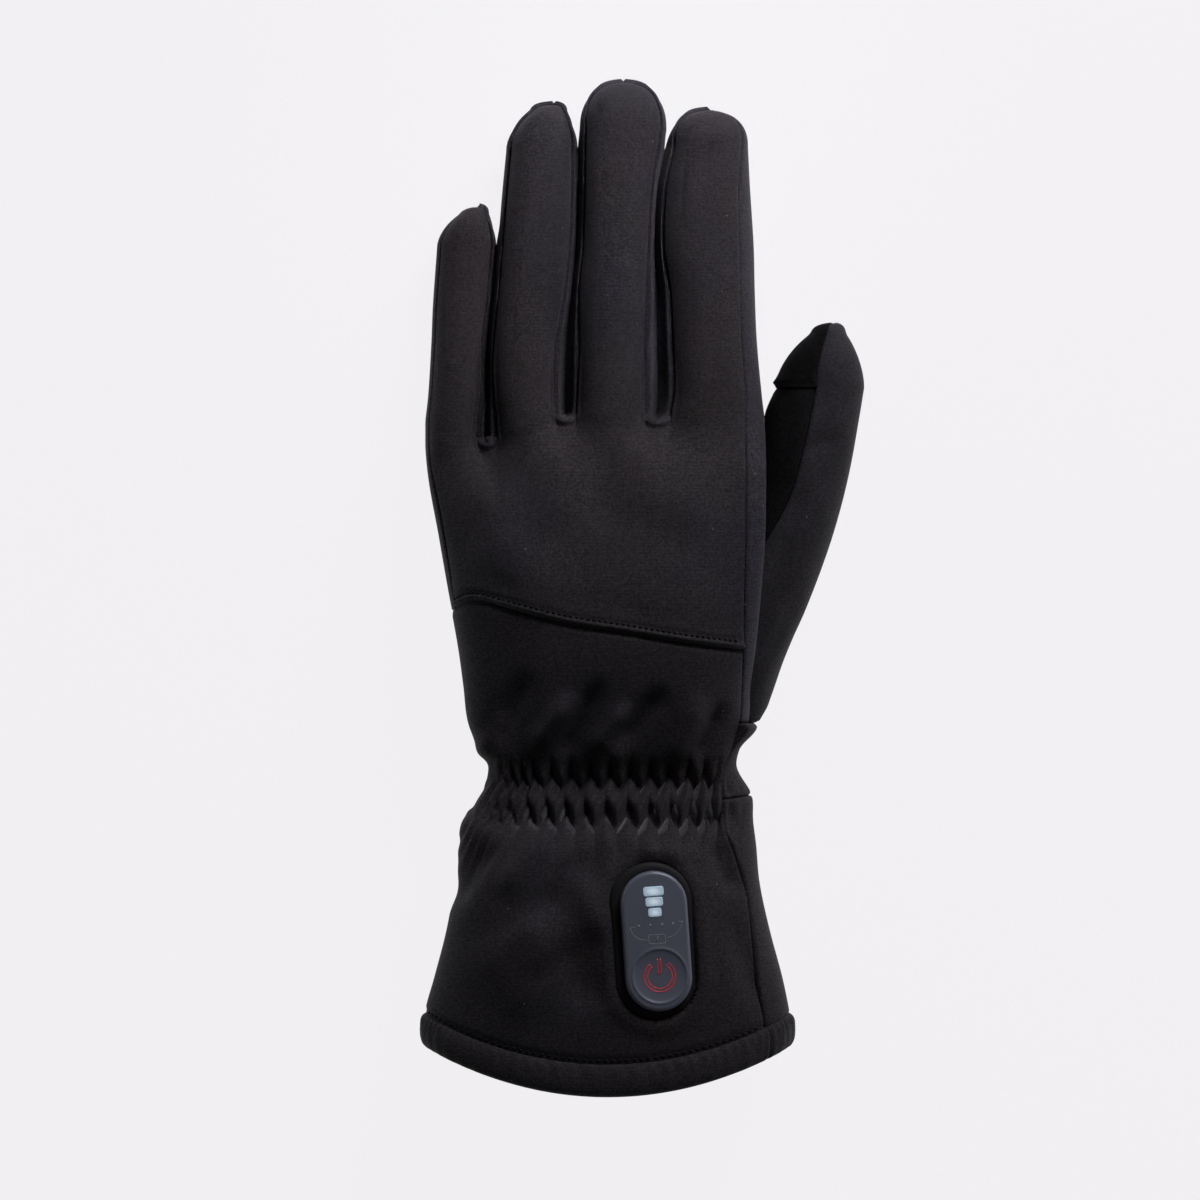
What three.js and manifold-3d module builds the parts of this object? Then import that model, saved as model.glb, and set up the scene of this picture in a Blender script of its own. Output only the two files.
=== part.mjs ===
// Heated glove for the left hand, lying on its palm, with a control let into the back of the cuff.
// Millimetres, +Z up, +Y towards the fingertips, +X towards the thumb.
// The origin is the middle of the palm's flat underside.
import * as THREE from 'three';
import { mergeVertices } from 'three/addons/utils/BufferGeometryUtils.js';
import Module from 'manifold-3d';

// Driving dimensions
const palmWidth = 96;          // across the knuckles
const palmLength = 102;        // upper shirring row to the finger webs
const handThickness = 38;      // floor to the highest part of the back
const fingerLength = 96;       // the middle finger, from its web
const fingerThickness = 28;    // the middle finger at its base
const wristWidth = 69.3;
const wristThickness = 31;
const cuffWidth = 105.3;       // across the mouth
const cuffLength = 66;         // upper shirring row to the hem's stitch line, at the sides
const cuffThickness = 42;
const hemBow = 13.2;           // how far the hem's middle hangs below its sides
const hemHeight = 8.6;
const hemThickness = 4.2;
const thumbLength = 113.7;     // buried root to tip
const thumbWidth = 26;
const thumbThickness = 21.5;
const wall = 2.3;              // softshell with its bonded fleece
const seamGap = 0.4;           // between pieces that are sewn together
const webRadius = 2.2;         // the round bottom between two fingers
const webFade = 12;            // how soon the fingers' roundness dies out on the hand
const flapLip = 0.8;           // the overlapping edge stands up by this
const foldsAround = 28;        // gathers round the wrist
const foldDepth = 1.3;
const controlLength = 39.3;
const controlWidth = 18.7;
const controlHeight = 6;
const controlProud = 1.8;      // above the fabric
const controlTilt = 4;         // degrees, in the plane of the cuff
const controlClearance = 0.4;
const controlBevel = 0.9;
const buttonDiameter = 14.9;
const buttonDish = 0.6;
const barHeight = 2.6;         // the light windows, one below another
const barThickness = 0.8;
const barPitch = 3.0;
const barClearance = 0.3;
const barsFromTop = 5.6;       // the control's upper end to the middle of the first window
const buttonFromEnd = 0.6;     // the button is higher than the control's round end by this

// Levels along the glove, from the palm's middle
const wristY = -0.406 * palmLength;
const webY = wristY + palmLength;
const palmEnd = wristY + 0.163 * palmLength;
const stripEnd = wristY - 0.055 * cuffLength;
const hemTop = wristY - cuffLength;

// Short tables with named columns
const table = (columns, ...rows) => rows.map(row => Object.fromEntries(columns.map((name, i) => [name, row[i]])));

// Hand, from the shirring up: shares of palm length, palm width and hand thickness
const handShape = table(
  ['at', 'left', 'right', 'seam', 'top', 'edgeLeft', 'edgeRight', 'bottom'],
  [1.10, -0.492, 0.494, 0.442, 0.71, 0.34, 0.45, -0.04],
  [1.00, -0.502, 0.502, 0.443, 0.75, 0.36, 0.52, -0.05],
  [0.85, -0.493, 0.502, 0.443, 0.83, 0.40, 0.66, -0.06],
  [0.68, -0.461, 0.499, 0.443, 0.93, 0.43, 0.71, -0.07],
  [0.52, -0.431, 0.487, 0.440, 1.00, 0.44, 0.68, -0.07],
  [0.365, -0.399, 0.472, 0.437, 0.99, 0.44, 0.58, -0.06],
  [0.263, -0.384, 0.458, 0.434, 0.95, 0.44, 0.48, -0.05],
  [0.166, -0.372, 0.452, 0.427, 0.90, 0.45, 0.44, -0.02]);

// Wrist: shares of palm length, wrist width and wrist thickness
const wristShape = table(
  ['at', 'left', 'right', 'seam', 'top', 'edgeLeft', 'edgeRight', 'bottom'],
  [0.085, -0.470, 0.590, 0.556, 1.06, 0.55, 0.55, 0.02],
  [0.038, -0.432, 0.582, 0.527, 1.00, 0.56, 0.56, 0.08],
  [-0.036, -0.463, 0.640, 0.524, 1.04, 0.57, 0.57, 0.09]);

// Cuff, from the shirring down: shares of cuff length, cuff width and cuff thickness
const cuffShape = table(
  ['at', 'left', 'right', 'seam', 'top', 'edgeLeft', 'edgeRight', 'bottom'],
  [0.175, -0.353, 0.428, 0.350, 0.86, 0.46, 0.46, 0.03],
  [0.27, -0.364, 0.436, 0.374, 0.92, 0.46, 0.46, -0.01],
  [0.43, -0.380, 0.446, 0.404, 0.98, 0.46, 0.46, -0.03],
  [0.64, -0.402, 0.474, 0.425, 1.00, 0.46, 0.46, -0.03],
  [0.84, -0.431, 0.505, 0.440, 0.98, 0.46, 0.46, -0.03],
  [1.00, -0.458, 0.524, 0.456, 0.95, 0.46, 0.46, -0.03],
  [1.13, -0.465, 0.535, 0.460, 0.93, 0.46, 0.46, -0.03]);

// Shirring, by share of palm length from the upper row: how far it pinches in, how deep the
// gathers are and how far they lean, in shares of the fold depth and of one gather
const shirring = table(
  ['at', 'pinch', 'depth', 'lean'],
  [-0.40, 0.00, 0.00, 0.9], [-0.22, 0.00, 0.50, 0.9], [-0.14, 0.00, 1.00, 0.9], [-0.095, -0.80, 0.45, 0.9],
  [-0.065, 0.00, 0.90, 0.7], [-0.03, 0.00, 0.90, 0.25], [0.00, -0.80, 0.45, 0.0], [0.045, 0.00, 1.00, 0.0],
  [0.11, 0.00, 0.45, 0.0], [0.20, 0.00, 0.00, 0.0]);

// Fingers, from the webs up: length as a share of the middle finger's, shares of that length for
// the rounded end, of palm width for the tip's place, of finger thickness for heights, and how
// blunt it is
const fingerShapes = table(
  ['name', 'reach', 'roundFrom', 'tip', 'baseTop', 'tipTop', 'tipHeight', 'blunt', 'shape'],
  ['index', 0.918, 0.88, 0.3375, 0.94, 0.80, 0.39, 2.2, table(['at', 'left', 'right', 'seam'],
    [0.00, 0.197, 0.502, 0.446], [0.08, 0.217, 0.493, 0.446], [0.26, 0.211, 0.478, 0.434],
    [0.42, 0.203, 0.472, 0.431], [0.56, 0.183, 0.469, 0.428], [0.75, 0.191, 0.458, 0.426],
    [0.88, 0.218, 0.452, 0.435])],
  ['middle', 1.000, 0.86, 0.0836, 1.00, 0.81, 0.39, 2.2, table(['at', 'left', 'right', 'seam'],
    [0.00, -0.073, 0.164, 0.150], [0.07, -0.062, 0.161, 0.148], [0.24, -0.062, 0.163, 0.149],
    [0.39, -0.063, 0.167, 0.154], [0.51, -0.051, 0.172, 0.159], [0.69, -0.046, 0.182, 0.169],
    [0.86, -0.045, 0.211, 0.196])],
  ['ring', 0.935, 0.85, -0.120, 0.98, 0.77, 0.38, 1.7, table(['at', 'left', 'right', 'seam'],
    [0.00, -0.311, -0.097, -0.110], [0.09, -0.311, -0.108, -0.121], [0.25, -0.311, -0.100, -0.113],
    [0.41, -0.299, -0.073, -0.087], [0.55, -0.288, -0.059, -0.073], [0.74, -0.273, -0.053, -0.067],
    [0.85, -0.263, -0.052, -0.066])],
  ['little', 0.633, 0.80, -0.345, 0.84, 0.68, 0.35, 1.65, table(['at', 'left', 'right', 'seam'],
    [0.00, -0.502, -0.327, -0.338], [0.13, -0.493, -0.325, -0.336], [0.37, -0.484, -0.321, -0.332],
    [0.53, -0.480, -0.309, -0.320], [0.80, -0.468, -0.292, -0.303])]);
const fingers = fingerShapes.map(finger => ({ ...finger, length: finger.reach * fingerLength }));
const fingerUnder = -0.03;     // share of finger thickness
const fingerLeftSeam = 0.88;   // share of half the finger's width
const endHeightBlunt = 2.2;    // of finger and thumb ends, seen from the side

// Webs between the fingers: shares of palm length above the palm's end and of palm width
const webs = table(['name', 'rise', 'across'],
  ['index_middle', 0.000, 0.181], ['middle_ring', 0.005, -0.085], ['ring_little', -0.061, -0.320]);

// Thumb, from its root: shares of thumb length, palm width, thumb width and thumb thickness
const thumbShape = table(['at', 'left', 'width', 'top', 'seam'],
  [0.00, 0.250, 0.580, 0.76, 140], [0.045, 0.265, 0.790, 0.90, 140], [0.17, 0.323, 0.835, 1.02, 140],
  [0.29, 0.365, 0.925, 1.03, 138], [0.42, 0.422, 0.935, 1.02, 132], [0.55, 0.458, 0.960, 1.01, 104],
  [0.66, 0.477, 1.000, 1.00, 94], [0.775, 0.502, 1.000, 0.99, 92], [0.835, 0.533, 0.927, 0.97, 96]);
const thumbEdge = 0.47;        // shares of thumb thickness
const thumbUnder = 0.01;
const thumbRootY = -0.245 * palmLength;
const thumbRoundFrom = 0.835;
const thumbTip = 0.707;        // share of palm width
const thumbBlunt = 1.5;
const patchFrom = 0.835;       // share of thumb length where the touch patch starts

// The overlapping edge of the back: share of half width, share of palm length above the palm's middle
const flapEdge = table(['at', 'rise'],
  [-0.86, 0.070], [-0.76, 0.094], [-0.60, 0.072], [-0.25, 0.030], [0.18, 0.003], [0.55, -0.022], [0.88, -0.041]);

const { degToRad, radToDeg, lerp, clamp, smoothstep } = THREE.MathUtils;

// A smooth curve through one column of a table
function fair(rows, at, column) {
  const last = rows.length - 1;
  let i = 0;
  while (i < last - 1 && at > rows[i + 1].at) i += 1;
  const slope = j => {
    const [before, after] = [rows[Math.max(j - 1, 0)], rows[Math.min(j + 1, last)]];
    return (after[column] - before[column]) / (after.at - before.at);
  };
  const [a, b] = [rows[i], rows[i + 1]];
  const span = b.at - a.at;
  const t = clamp((at - a.at) / span, 0, 1);
  const ease = t * t * (3 - 2 * t);
  const pull = slope(i) * (t - 2 * t * t + t ** 3) + slope(i + 1) * (t ** 3 - t * t);
  return lerp(a[column], b[column], ease) + span * pull;
}

// Sections of the glove are closed curves in upright planes, given by their two edges, their
// top, bottom and edge heights and how square they are above and below the edges.
const bodyColumns = ['left', 'right', 'seam', 'top', 'edgeLeft', 'edgeRight', 'bottom'];
function scaled(rows, placeOf, width, thickness) {
  const sizes = [width, width, width, thickness, thickness, thickness, thickness];
  return rows.map(row => ({
    at: placeOf(row.at),
    ...Object.fromEntries(bodyColumns.map((name, i) => [name, row[name] * sizes[i]])),
  }));
}
const bodyTable = [
  ...scaled(handShape, at => wristY + at * palmLength, palmWidth, handThickness),
  ...scaled(wristShape, at => wristY + at * palmLength, wristWidth, wristThickness),
  ...scaled(cuffShape, at => wristY - at * cuffLength, cuffWidth, cuffThickness),
].sort((a, b) => a.at - b.at);

const bodyCrown = 2.5;
const bodyBelly = 2.2;
function bodySection(y) {
  const section = Object.fromEntries(bodyColumns.map(name => [name, fair(bodyTable, y, name)]));
  return { ...section, crown: bodyCrown, belly: bodyBelly, floor: 0 };
}

function fingerSection(finger, y) {
  const at = (y - webY) / finger.length;
  const straight = Math.min(Math.max(at, 0), finger.roundFrom);
  const [left, right, seam] = ['left', 'right', 'seam'].map(name => fair(finger.shape, straight, name) * palmWidth);
  const top = fingerThickness * lerp(finger.baseTop, finger.tipTop, straight / finger.roundFrom);
  const edge = fingerThickness * finger.tipHeight;
  return { left, right, seam, top, edgeLeft: edge, edgeRight: edge, bottom: fingerUnder * fingerThickness,
    crown: 2.3, belly: 2.3, floor: 0 };
}

function thumbSection(y) {
  const at = Math.min((y - thumbRootY) / thumbLength, thumbRoundFrom);
  const left = fair(thumbShape, at, 'left') * palmWidth;
  const right = left + fair(thumbShape, at, 'width') * thumbWidth;
  const top = fair(thumbShape, at, 'top') * thumbThickness;
  const edge = thumbEdge * thumbThickness;
  return { left, right, top, edgeLeft: edge, edgeRight: edge, bottom: thumbUnder * thumbThickness,
    crown: 2.1, belly: 2.3, floor: 0.3 };
}

const inset = (section, by) => ({ ...section, left: section.left + by, right: section.right - by,
  top: section.top - by, bottom: section.bottom + by, floor: section.floor + Math.max(by, 0) });
const middle = section => (section.left + section.right) / 2;
const halfWidth = section => (section.right - section.left) / 2;
const shareOf = (section, x) => clamp((x - middle(section)) / halfWidth(section), -1, 1);
const placeAt = (section, share) => middle(section) + share * halfWidth(section);
const bulge = (share, squareness) => (1 - Math.abs(share) ** squareness) ** (1 / squareness);
const edgeHeight = (section, share) => lerp(section.edgeLeft, section.edgeRight, (share + 1) / 2);

function heightAt(section, share, above) {
  const edge = edgeHeight(section, share);
  if (above) return edge + (section.top - edge) * bulge(share, section.crown);
  return Math.max(section.floor, edge - (edge - section.bottom) * bulge(share, section.belly));
}

// A point on the section by angle: 0 at the right edge, 90 on top, 180 at the left edge
function roundSection(section, degrees) {
  const [c, s] = [Math.cos(degToRad(degrees)), Math.sin(degToRad(degrees))];
  const squareness = s >= 0 ? section.crown : section.belly;
  const share = Math.sign(c) * Math.min(Math.abs(c) ** (2 / squareness), 1);
  return { share, x: placeAt(section, share), z: heightAt(section, share, s >= 0) };
}
const angleOf = (share, squareness) => radToDeg(Math.acos(Math.abs(share) ** (squareness / 2)));

// The angle one seam gap away from a seam
function besideSeam(section, degrees, side) {
  const [a, b] = [roundSection(section, degrees - 0.5), roundSection(section, degrees + 0.5)];
  return degrees + side * seamGap / 2 / Math.hypot(b.x - a.x, b.z - a.z);
}

// A rounded end: how much of the width or height is left at a share of the way to the tip
function roundedEnd(section, tipX, blunt, share) {
  const [width, height] = [bulge(share, blunt), bulge(share, endHeightBlunt)];
  const edge = (section.edgeLeft + section.edgeRight) / 2;
  return { ...section, left: lerp(tipX, section.left, width), right: lerp(tipX, section.right, width),
    top: lerp(edge, section.top, height), bottom: lerp(edge, section.bottom, height) };
}

// The section of a finger anywhere along it, its rounded end included
function roundedFinger(finger, y) {
  const share = ((y - webY) / finger.length - finger.roundFrom) / (1 - finger.roundFrom);
  const straight = fingerSection(finger, y);
  return share > 0 ? roundedEnd(straight, finger.tip * palmWidth, finger.blunt, Math.min(share, 1)) : straight;
}

// A sewn piece is a patch of corner pairs, outside and inside, closed along its edges.
function startPatch() {
  const pairs = [];
  const faces = [];
  return {
    pairs,
    faces,
    corner(outside, inside) {
      pairs.push([outside, inside]);
      return pairs.length - 1;
    },
    join(upper, lower) {
      for (let i = 0; i + 1 < upper.length; i += 1) {
        faces.push([upper[i], upper[i + 1], lower[i + 1]], [upper[i], lower[i + 1], lower[i]]);
      }
    },
    fan(row, tip) {
      for (let i = 0; i + 1 < row.length; i += 1) faces.push([row[i + 1], row[i], tip]);
    },
  };
}

function geometryOf(corners, faces) {
  const at = i => new THREE.Vector3(...corners[i]);
  const volume = faces.reduce((sum, [a, b, c]) => sum + at(a).dot(at(b).cross(at(c))), 0);
  const outward = volume < 0 ? faces.map(([a, b, c]) => [a, c, b]) : faces;
  const geometry = new THREE.BufferGeometry();
  geometry.setAttribute('position', new THREE.Float32BufferAttribute(corners.flat(), 3));
  geometry.setIndex(outward.flat());
  return geometry;
}

function closePatch({ pairs, faces }) {
  const count = pairs.length;
  const corners = [...pairs.map(pair => pair[0]), ...pairs.map(pair => pair[1])];
  const solid = faces.flatMap(([a, b, c]) => [[a, b, c], [a + count, c + count, b + count]]);
  const edges = new Set(faces.flatMap(([a, b, c]) => [`${a},${b}`, `${b},${c}`, `${c},${a}`]));
  for (const edge of edges) {
    const [a, b] = edge.split(',').map(Number);
    if (!edges.has(`${b},${a}`)) solid.push([b, a, a + count], [b, a + count, b + count]);
  }
  return geometryOf(corners, solid);
}

function gridPiece(rows) {
  const patch = startPatch();
  const numbered = rows.map(row => row.map(([outside, inside]) => patch.corner(outside, inside)));
  numbered.slice(1).forEach((row, i) => patch.join(numbered[i], row));
  return closePatch(patch);
}

// Hand and cuff
const flapY = share => {
  const at = clamp(share, flapEdge[0].at, flapEdge.at(-1).at);
  return palmLength * fair(flapEdge, at, 'rise');
};
const bow = (level, share) => {
  const down = smoothstep(palmEnd - level, 0, palmEnd - hemTop);
  const sides = clamp((palmEnd - level) / (palmEnd - hemTop), 0, 1);
  return lerp(down, sides, 0.5) * hemBow * (1 - share * share);
};

function gather(level, degrees) {
  const at = (level - wristY) / palmLength;
  if (at < shirring[0].at || at > shirring.at(-1).at) return 0;
  const turn = foldsAround * degrees / 360 + fair(shirring, at, 'lean');
  const wave = Math.cos(2 * Math.PI * turn);
  return foldDepth * (fair(shirring, at, 'pinch') + fair(shirring, at, 'depth') * wave);
}

// A corner pair of the hand or cuff, at a level along the sides and an angle round the section
function bodyPair(level, degrees) {
  const section = bodySection(level);
  const outside = roundSection(inset(section, -gather(level, degrees)), degrees);
  const inside = roundSection(inset(section, wall), degrees);
  const y = level - bow(level, outside.share);
  return [[outside.x, y, outside.z], [inside.x, y, inside.z]];
}

const backSeam = level => {
  const section = bodySection(level);
  return angleOf(shareOf(section, section.seam), section.crown);
};
const palmSeamShare = 0.96;    // of half the hand's width, both sides of the palm
const backLeftSeamShare = 0.97;
const leftSeam = 180 + angleOf(palmSeamShare, bodyBelly);

// Levels of the rows that all pieces of the hand share
const nearWebs = [0, 0.07, 0.15, 0.27, 0.45, 0.7, 1];
const belowFlap = [0, 0.35, 0.7, 1];
const fingerRows = [0, 0.1, 0.3, 0.52, 0.76, 1];
const tipRows = [0.46, 0.75, 0.91, 0.983];
const tipSeams = [0.9, 0.93, 0.96, 1];
const backColumns = [1, 0.85, 0.5, 0, -0.5, -0.85, -1];
const palmColumns = [1, 0.75, 0, -0.75, -1];

// The back and the palm are cut like combs: four half fingers on one half of the hand.
function combPiece(above, endLevels) {
  const patch = startPatch();
  const fingerColumns = above ? backColumns : palmColumns;
  const edgeOf = { left: [], right: [] };
  const sides = fingers.map(() => ({ left: [], right: [] }));
  const baseAt = (k, column) => {
    const right = k === 0 ? webY : webY + webs[k - 1].rise * palmLength + webRadius;
    const left = k === 3 ? webY + webs[2].rise * palmLength : webY + webs[k].rise * palmLength + webRadius;
    return lerp(right, left, column / (fingerColumns.length - 1));
  };
  const columnShare = (section, column, seamShare) => {
    const rightShare = seamShare ?? shareOf(section, section.seam);
    const leftShare = -(seamShare ?? fingerLeftSeam);
    return lerp(leftShare, rightShare, (fingerColumns[column] + 1) / 2);
  };
  const crown = fingers.map((finger, k) => {
    const roundY = webY + finger.roundFrom * finger.length;
    const roundLength = finger.length * (1 - finger.roundFrom);
    const pairAt = (section, share, y) => [section, inset(section, wall)].map(shape =>
      [placeAt(shape, share), y, heightAt(shape, share, above)]);
    const rows = fingerRows.map(t => fingerColumns.map((_, column) => {
      const y = lerp(baseAt(k, column), roundY, t);
      const section = fingerSection(finger, y);
      return pairAt(section, columnShare(section, column), y);
    }));
    const straight = fingerSection(finger, roundY);
    const tipX = finger.tip * palmWidth;
    tipRows.forEach((share, i) => {
      const outside = roundedEnd(straight, tipX, finger.blunt, share);
      const inside = roundedEnd(inset(straight, wall), tipX, finger.blunt, share);
      const last = i === tipRows.length - 1;
      rows.push(fingerColumns.map((_, column) => {
        const across = columnShare(outside, column, tipSeams[i]);
        const lift = last && Math.abs(across) === 1 ? (above ? 0.5 : -0.5) * seamGap : 0;
        return [
          [placeAt(outside, across), roundY + share * roundLength, heightAt(outside, across, above) + lift],
          [placeAt(inside, across), roundY + share * (roundLength - wall), heightAt(inside, across, above) + lift],
        ];
      }));
    });
    const numbered = rows.map(row => row.map(([outside, inside]) => patch.corner(outside, inside)));
    numbered.slice(1).forEach((row, i) => patch.join(row, numbered[i]));
    const tipZ = straight.edgeLeft + (above ? 0.5 : -0.5) * seamGap;
    const tipPoint = patch.corner([tipX, roundY + roundLength, tipZ], [tipX, roundY + roundLength - wall, tipZ]);
    patch.fan(numbered.at(-1), tipPoint);
    const fullSeam = rows.slice(0, rows.length - 1);
    sides[k].right = fullSeam.map(row => row[0]);
    sides[k].left = fullSeam.map(row => row.at(-1));
    return { rows, numbered };
  });

  // The row along the webs
  const webPairs = webs.map((web, k) => {
    const [before, after] = [crown[k].rows[0].at(-1), crown[k + 1].rows[0][0]];
    const z = (before[0][2] + after[0][2]) / 2;
    const inZ = (before[1][2] + after[1][2]) / 2;
    const y = webY + web.rise * palmLength;
    return [[web.across * palmWidth, y, z], [web.across * palmWidth, y - wall, inZ]];
  });
  const topPairs = crown.flatMap(({ rows }, k) => (k < 3 ? [...rows[0], webPairs[k]] : rows[0]));
  let previous = crown.flatMap(({ numbered }, k) =>
    (k < 3 ? [...numbered[0], patch.corner(...webPairs[k])] : numbered[0]));

  // Rows down the hand
  const seamShares = section => above
    ? [shareOf(section, section.seam), -backLeftSeamShare]
    : [palmSeamShare, -palmSeamShare];
  const shares = topPairs.map(([outside]) => {
    const section = bodySection(outside[1]);
    const [right, left] = seamShares(section);
    return clamp((shareOf(section, outside[0]) - right) / (left - right), 0, 1);
  });
  endLevels.forEach(([levelAt, lip]) => {
    const row = topPairs.map((pair, column) => {
      const start = pair[0];
      const share0 = lerp(...seamShares(bodySection(start[1])), shares[column]);
      const y = levelAt(start[1], share0);
      const section = bodySection(y);
      const share = lerp(...seamShares(section), shares[column]);
      const fade = smoothstep(start[1] - y, 0, webFade);
      return [0, wall].map((depth, i) => {
        const shape = inset(section, depth - (i === 0 ? lip : 0));
        return [placeAt(shape, share), y, lerp(pair[i][2], heightAt(shape, share, above), fade)];
      });
    });
    const numbered = row.map(([outside, inside]) => patch.corner(outside, inside));
    patch.join(previous, numbered);
    previous = numbered;
    edgeOf.right.push(row[0]);
    edgeOf.left.push(row.at(-1));
  });
  const seams = {
    right: [...sides[0].right].reverse().concat(edgeOf.right),
    left: [...sides[3].left].reverse().concat(edgeOf.left),
    webs: webs.map((_, k) => [...[...sides[k].left].reverse(), webPairs[k], ...sides[k + 1].right]),
  };
  return { geometry: closePatch(patch), seams };
}

// How far out the side of a section is at a height
function sidePlace(section, z, side) {
  const edge = side > 0 ? section.edgeRight : section.edgeLeft;
  const [height, squareness] = z > edge
    ? [(z - edge) / (section.top - edge), section.crown]
    : [(edge - z) / (edge - section.bottom), section.belly];
  return placeAt(section, side * bulge(Math.min(height, 1), squareness));
}

// A strip between two seams, one gap inside each; settle(i, z, depth, point) puts a point
// between them on the side of the section in row i.
function stripPiece(upper, lower, settle) {
  const rows = upper.map((pair, i) => {
    const ends = [0, 1].map(side => {
      const [a, b] = [new THREE.Vector3(...pair[side]), new THREE.Vector3(...lower[i][side])];
      const step = b.clone().sub(a).setLength(seamGap * 1.2);
      return [a.clone().add(step), b.clone().sub(step)];
    });
    return [0, 0.33, 0.67, 1].map(t => [0, wall].map((depth, side) => {
      const point = ends[side][0].clone().lerp(ends[side][1], t).toArray();
      return t > 0 && t < 1 ? settle(i, depth, point) : point;
    }));
  });
  return gridPiece(rows);
}
const onSide = (section, side) => (i, depth, [, y, z]) => [sidePlace(inset(section(y), depth), z, side), y, z];

// Rows of the back stop at the overlapping edge; rows of the palm go on to its end.
const backRows = nearWebs.slice(1).map((t, i, list) => [
  (start, share) => lerp(start, flapY(share) + seamGap, t), i === list.length - 1 ? flapLip : 0,
]);
const palmRows = [
  ...nearWebs.slice(1).map(t => [(start, share) => lerp(start, sideFlapY(share), t), 0]),
  ...belowFlap.slice(1).map(t => [(start, share) => lerp(sideFlapY(share), palmEnd + seamGap / 2, t), 0]),
];
function sideFlapY(share) {
  return lerp(flapY(-1), flapY(1), (share + 1) / 2);
}

const back = combPiece(true, backRows);
const palm = combPiece(false, palmRows);

// Cuff pieces: rows of levels by columns of angles
const shirredLevels = [0.11, 0.05, 0, -0.03, -0.065, -0.095, -0.14, -0.2].map(at => wristY + at * palmLength);
const smoothLevels = [0.45, 0.63, 0.82, 1].map(at => wristY - at * cuffLength);
smoothLevels[3] += seamGap / 2;
const isStrip = level => level > stripEnd;

function cuffBackPiece() {
  const columns = Array.from({ length: 35 }, (_, i) => i / 34);
  const row = levelAt => columns.map(t => {
    const rough = lerp(backSeam(levelAt(1)), leftSeam, t);
    const level = levelAt(roundSection(bodySection(levelAt(0)), rough).share);
    const section = bodySection(level);
    const from = besideSeam(section, backSeam(level), 1);
    const to = besideSeam(section, leftSeam, -1);
    return bodyPair(level, lerp(from, to, t));
  });
  return [
    ...belowFlap.map(t => row(share => lerp(flapY(share) - seamGap, palmEnd, t))),
    ...shirredLevels.map(level => row(() => level)),
    ...smoothLevels.map(level => row(() => level)),
  ];
}

function palmSideRows(levels) {
  const columns = Array.from({ length: 31 }, (_, i) => i / 30);
  return levels.map(level => {
    const section = bodySection(level);
    const from = besideSeam(section, leftSeam, 1);
    const to = besideSeam(section, 360 + backSeam(level), -1);
    return columns.map(t => bodyPair(level, lerp(from, to, t)));
  });
}

// The padded binding is a ring round the mouth with a rounded profile.
function hemPiece() {
  const profile = table(['out', 'down'],
    [0.00, 0.00], [0.35, 0.06], [0.50, 0.30], [0.50, 0.70], [0.28, 0.96], [-0.28, 0.96], [-0.50, 0.70], [-0.5, 0.06]);
  const ringCount = 40;
  const rows = Array.from({ length: ringCount }, (_, i) => {
    const degrees = 360 * i / ringCount;
    return profile.map(({ out, down }) => {
      const level = hemTop - seamGap / 2 - down * hemHeight;
      const section = inset(bodySection(hemTop), wall / 2 - out * hemThickness);
      const { share, x, z } = roundSection({ ...section, floor: Math.max(0, (0.5 - out) * hemThickness) }, degrees);
      return [x, level - bow(hemTop, share), z];
    });
  });
  const corners = rows.flat();
  const faces = rows.flatMap((_, i) => profile.flatMap((__, j) => {
    const [a, b] = [i, (i + 1) % ringCount].map(r => r * profile.length + j);
    const [c, d] = [i, (i + 1) % ringCount].map(r => r * profile.length + (j + 1) % profile.length);
    return [[a, b, d], [a, d, c]];
  }));
  return geometryOf(corners, faces);
}

// Solids for joining and cutting
const wasm = await Module();
wasm.setup();

function toManifold(geometry) {
  const bare = geometry.clone();
  bare.deleteAttribute('normal');
  bare.deleteAttribute('uv');
  const merged = mergeVertices(bare, 1e-4);
  return new wasm.Manifold(new wasm.Mesh({
    numProp: 3,
    vertProperties: new Float32Array(merged.attributes.position.array),
    triVerts: new Uint32Array(merged.index.array),
  }));
}

function fromManifold(solid) {
  const { vertProperties, triVerts, numProp } = solid.getMesh();
  const positions = Array.from({ length: vertProperties.length / numProp * 3 },
    (_, i) => vertProperties[Math.floor(i / 3) * numProp + i % 3]);
  const geometry = new THREE.BufferGeometry();
  geometry.setAttribute('position', new THREE.Float32BufferAttribute(positions, 3));
  geometry.setIndex([...triVerts]);
  return geometry;
}

const cut = (geometry, ...tools) => fromManifold(
  tools.reduce((solid, tool) => solid.subtract(toManifold(tool)), toManifold(geometry)));

// A closed tube through rings of points
function tubeSolid(rings) {
  const count = rings[0].length;
  const corners = rings.flat();
  const faces = [];
  rings.slice(1).forEach((_, i) => {
    for (let j = 0; j < count; j += 1) {
      const [a, b] = [i * count + j, i * count + (j + 1) % count];
      faces.push([a, b, b + count], [a, b + count, a + count]);
    }
  });
  const last = (rings.length - 1) * count;
  for (let j = 1; j + 1 < count; j += 1) {
    faces.push([0, j + 1, j], [last, last + j, last + j + 1]);
  }
  return geometryOf(corners, faces);
}

// Thumb
const thumbRoundY = thumbRootY + thumbRoundFrom * thumbLength;
const thumbRoundLength = thumbLength * (1 - thumbRoundFrom);
const thumbLevels = [0, 0.025, 0.06, 0.13, 0.22, 0.32, 0.42, 0.53, 0.64, 0.74, thumbRoundFrom]
  .map(at => thumbRootY + at * thumbLength);
const underSeam = 262;         // degrees round the thumb's section

function thumbRow(section, y, inside, insideY, from, to, count) {
  return Array.from({ length: count }, (_, i) => {
    const degrees = lerp(from, to, i / (count - 1));
    const [a, b] = [roundSection(section, degrees), roundSection(inside, degrees)];
    return [[a.x, y, a.z], [b.x, insideY, b.z]];
  });
}

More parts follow.
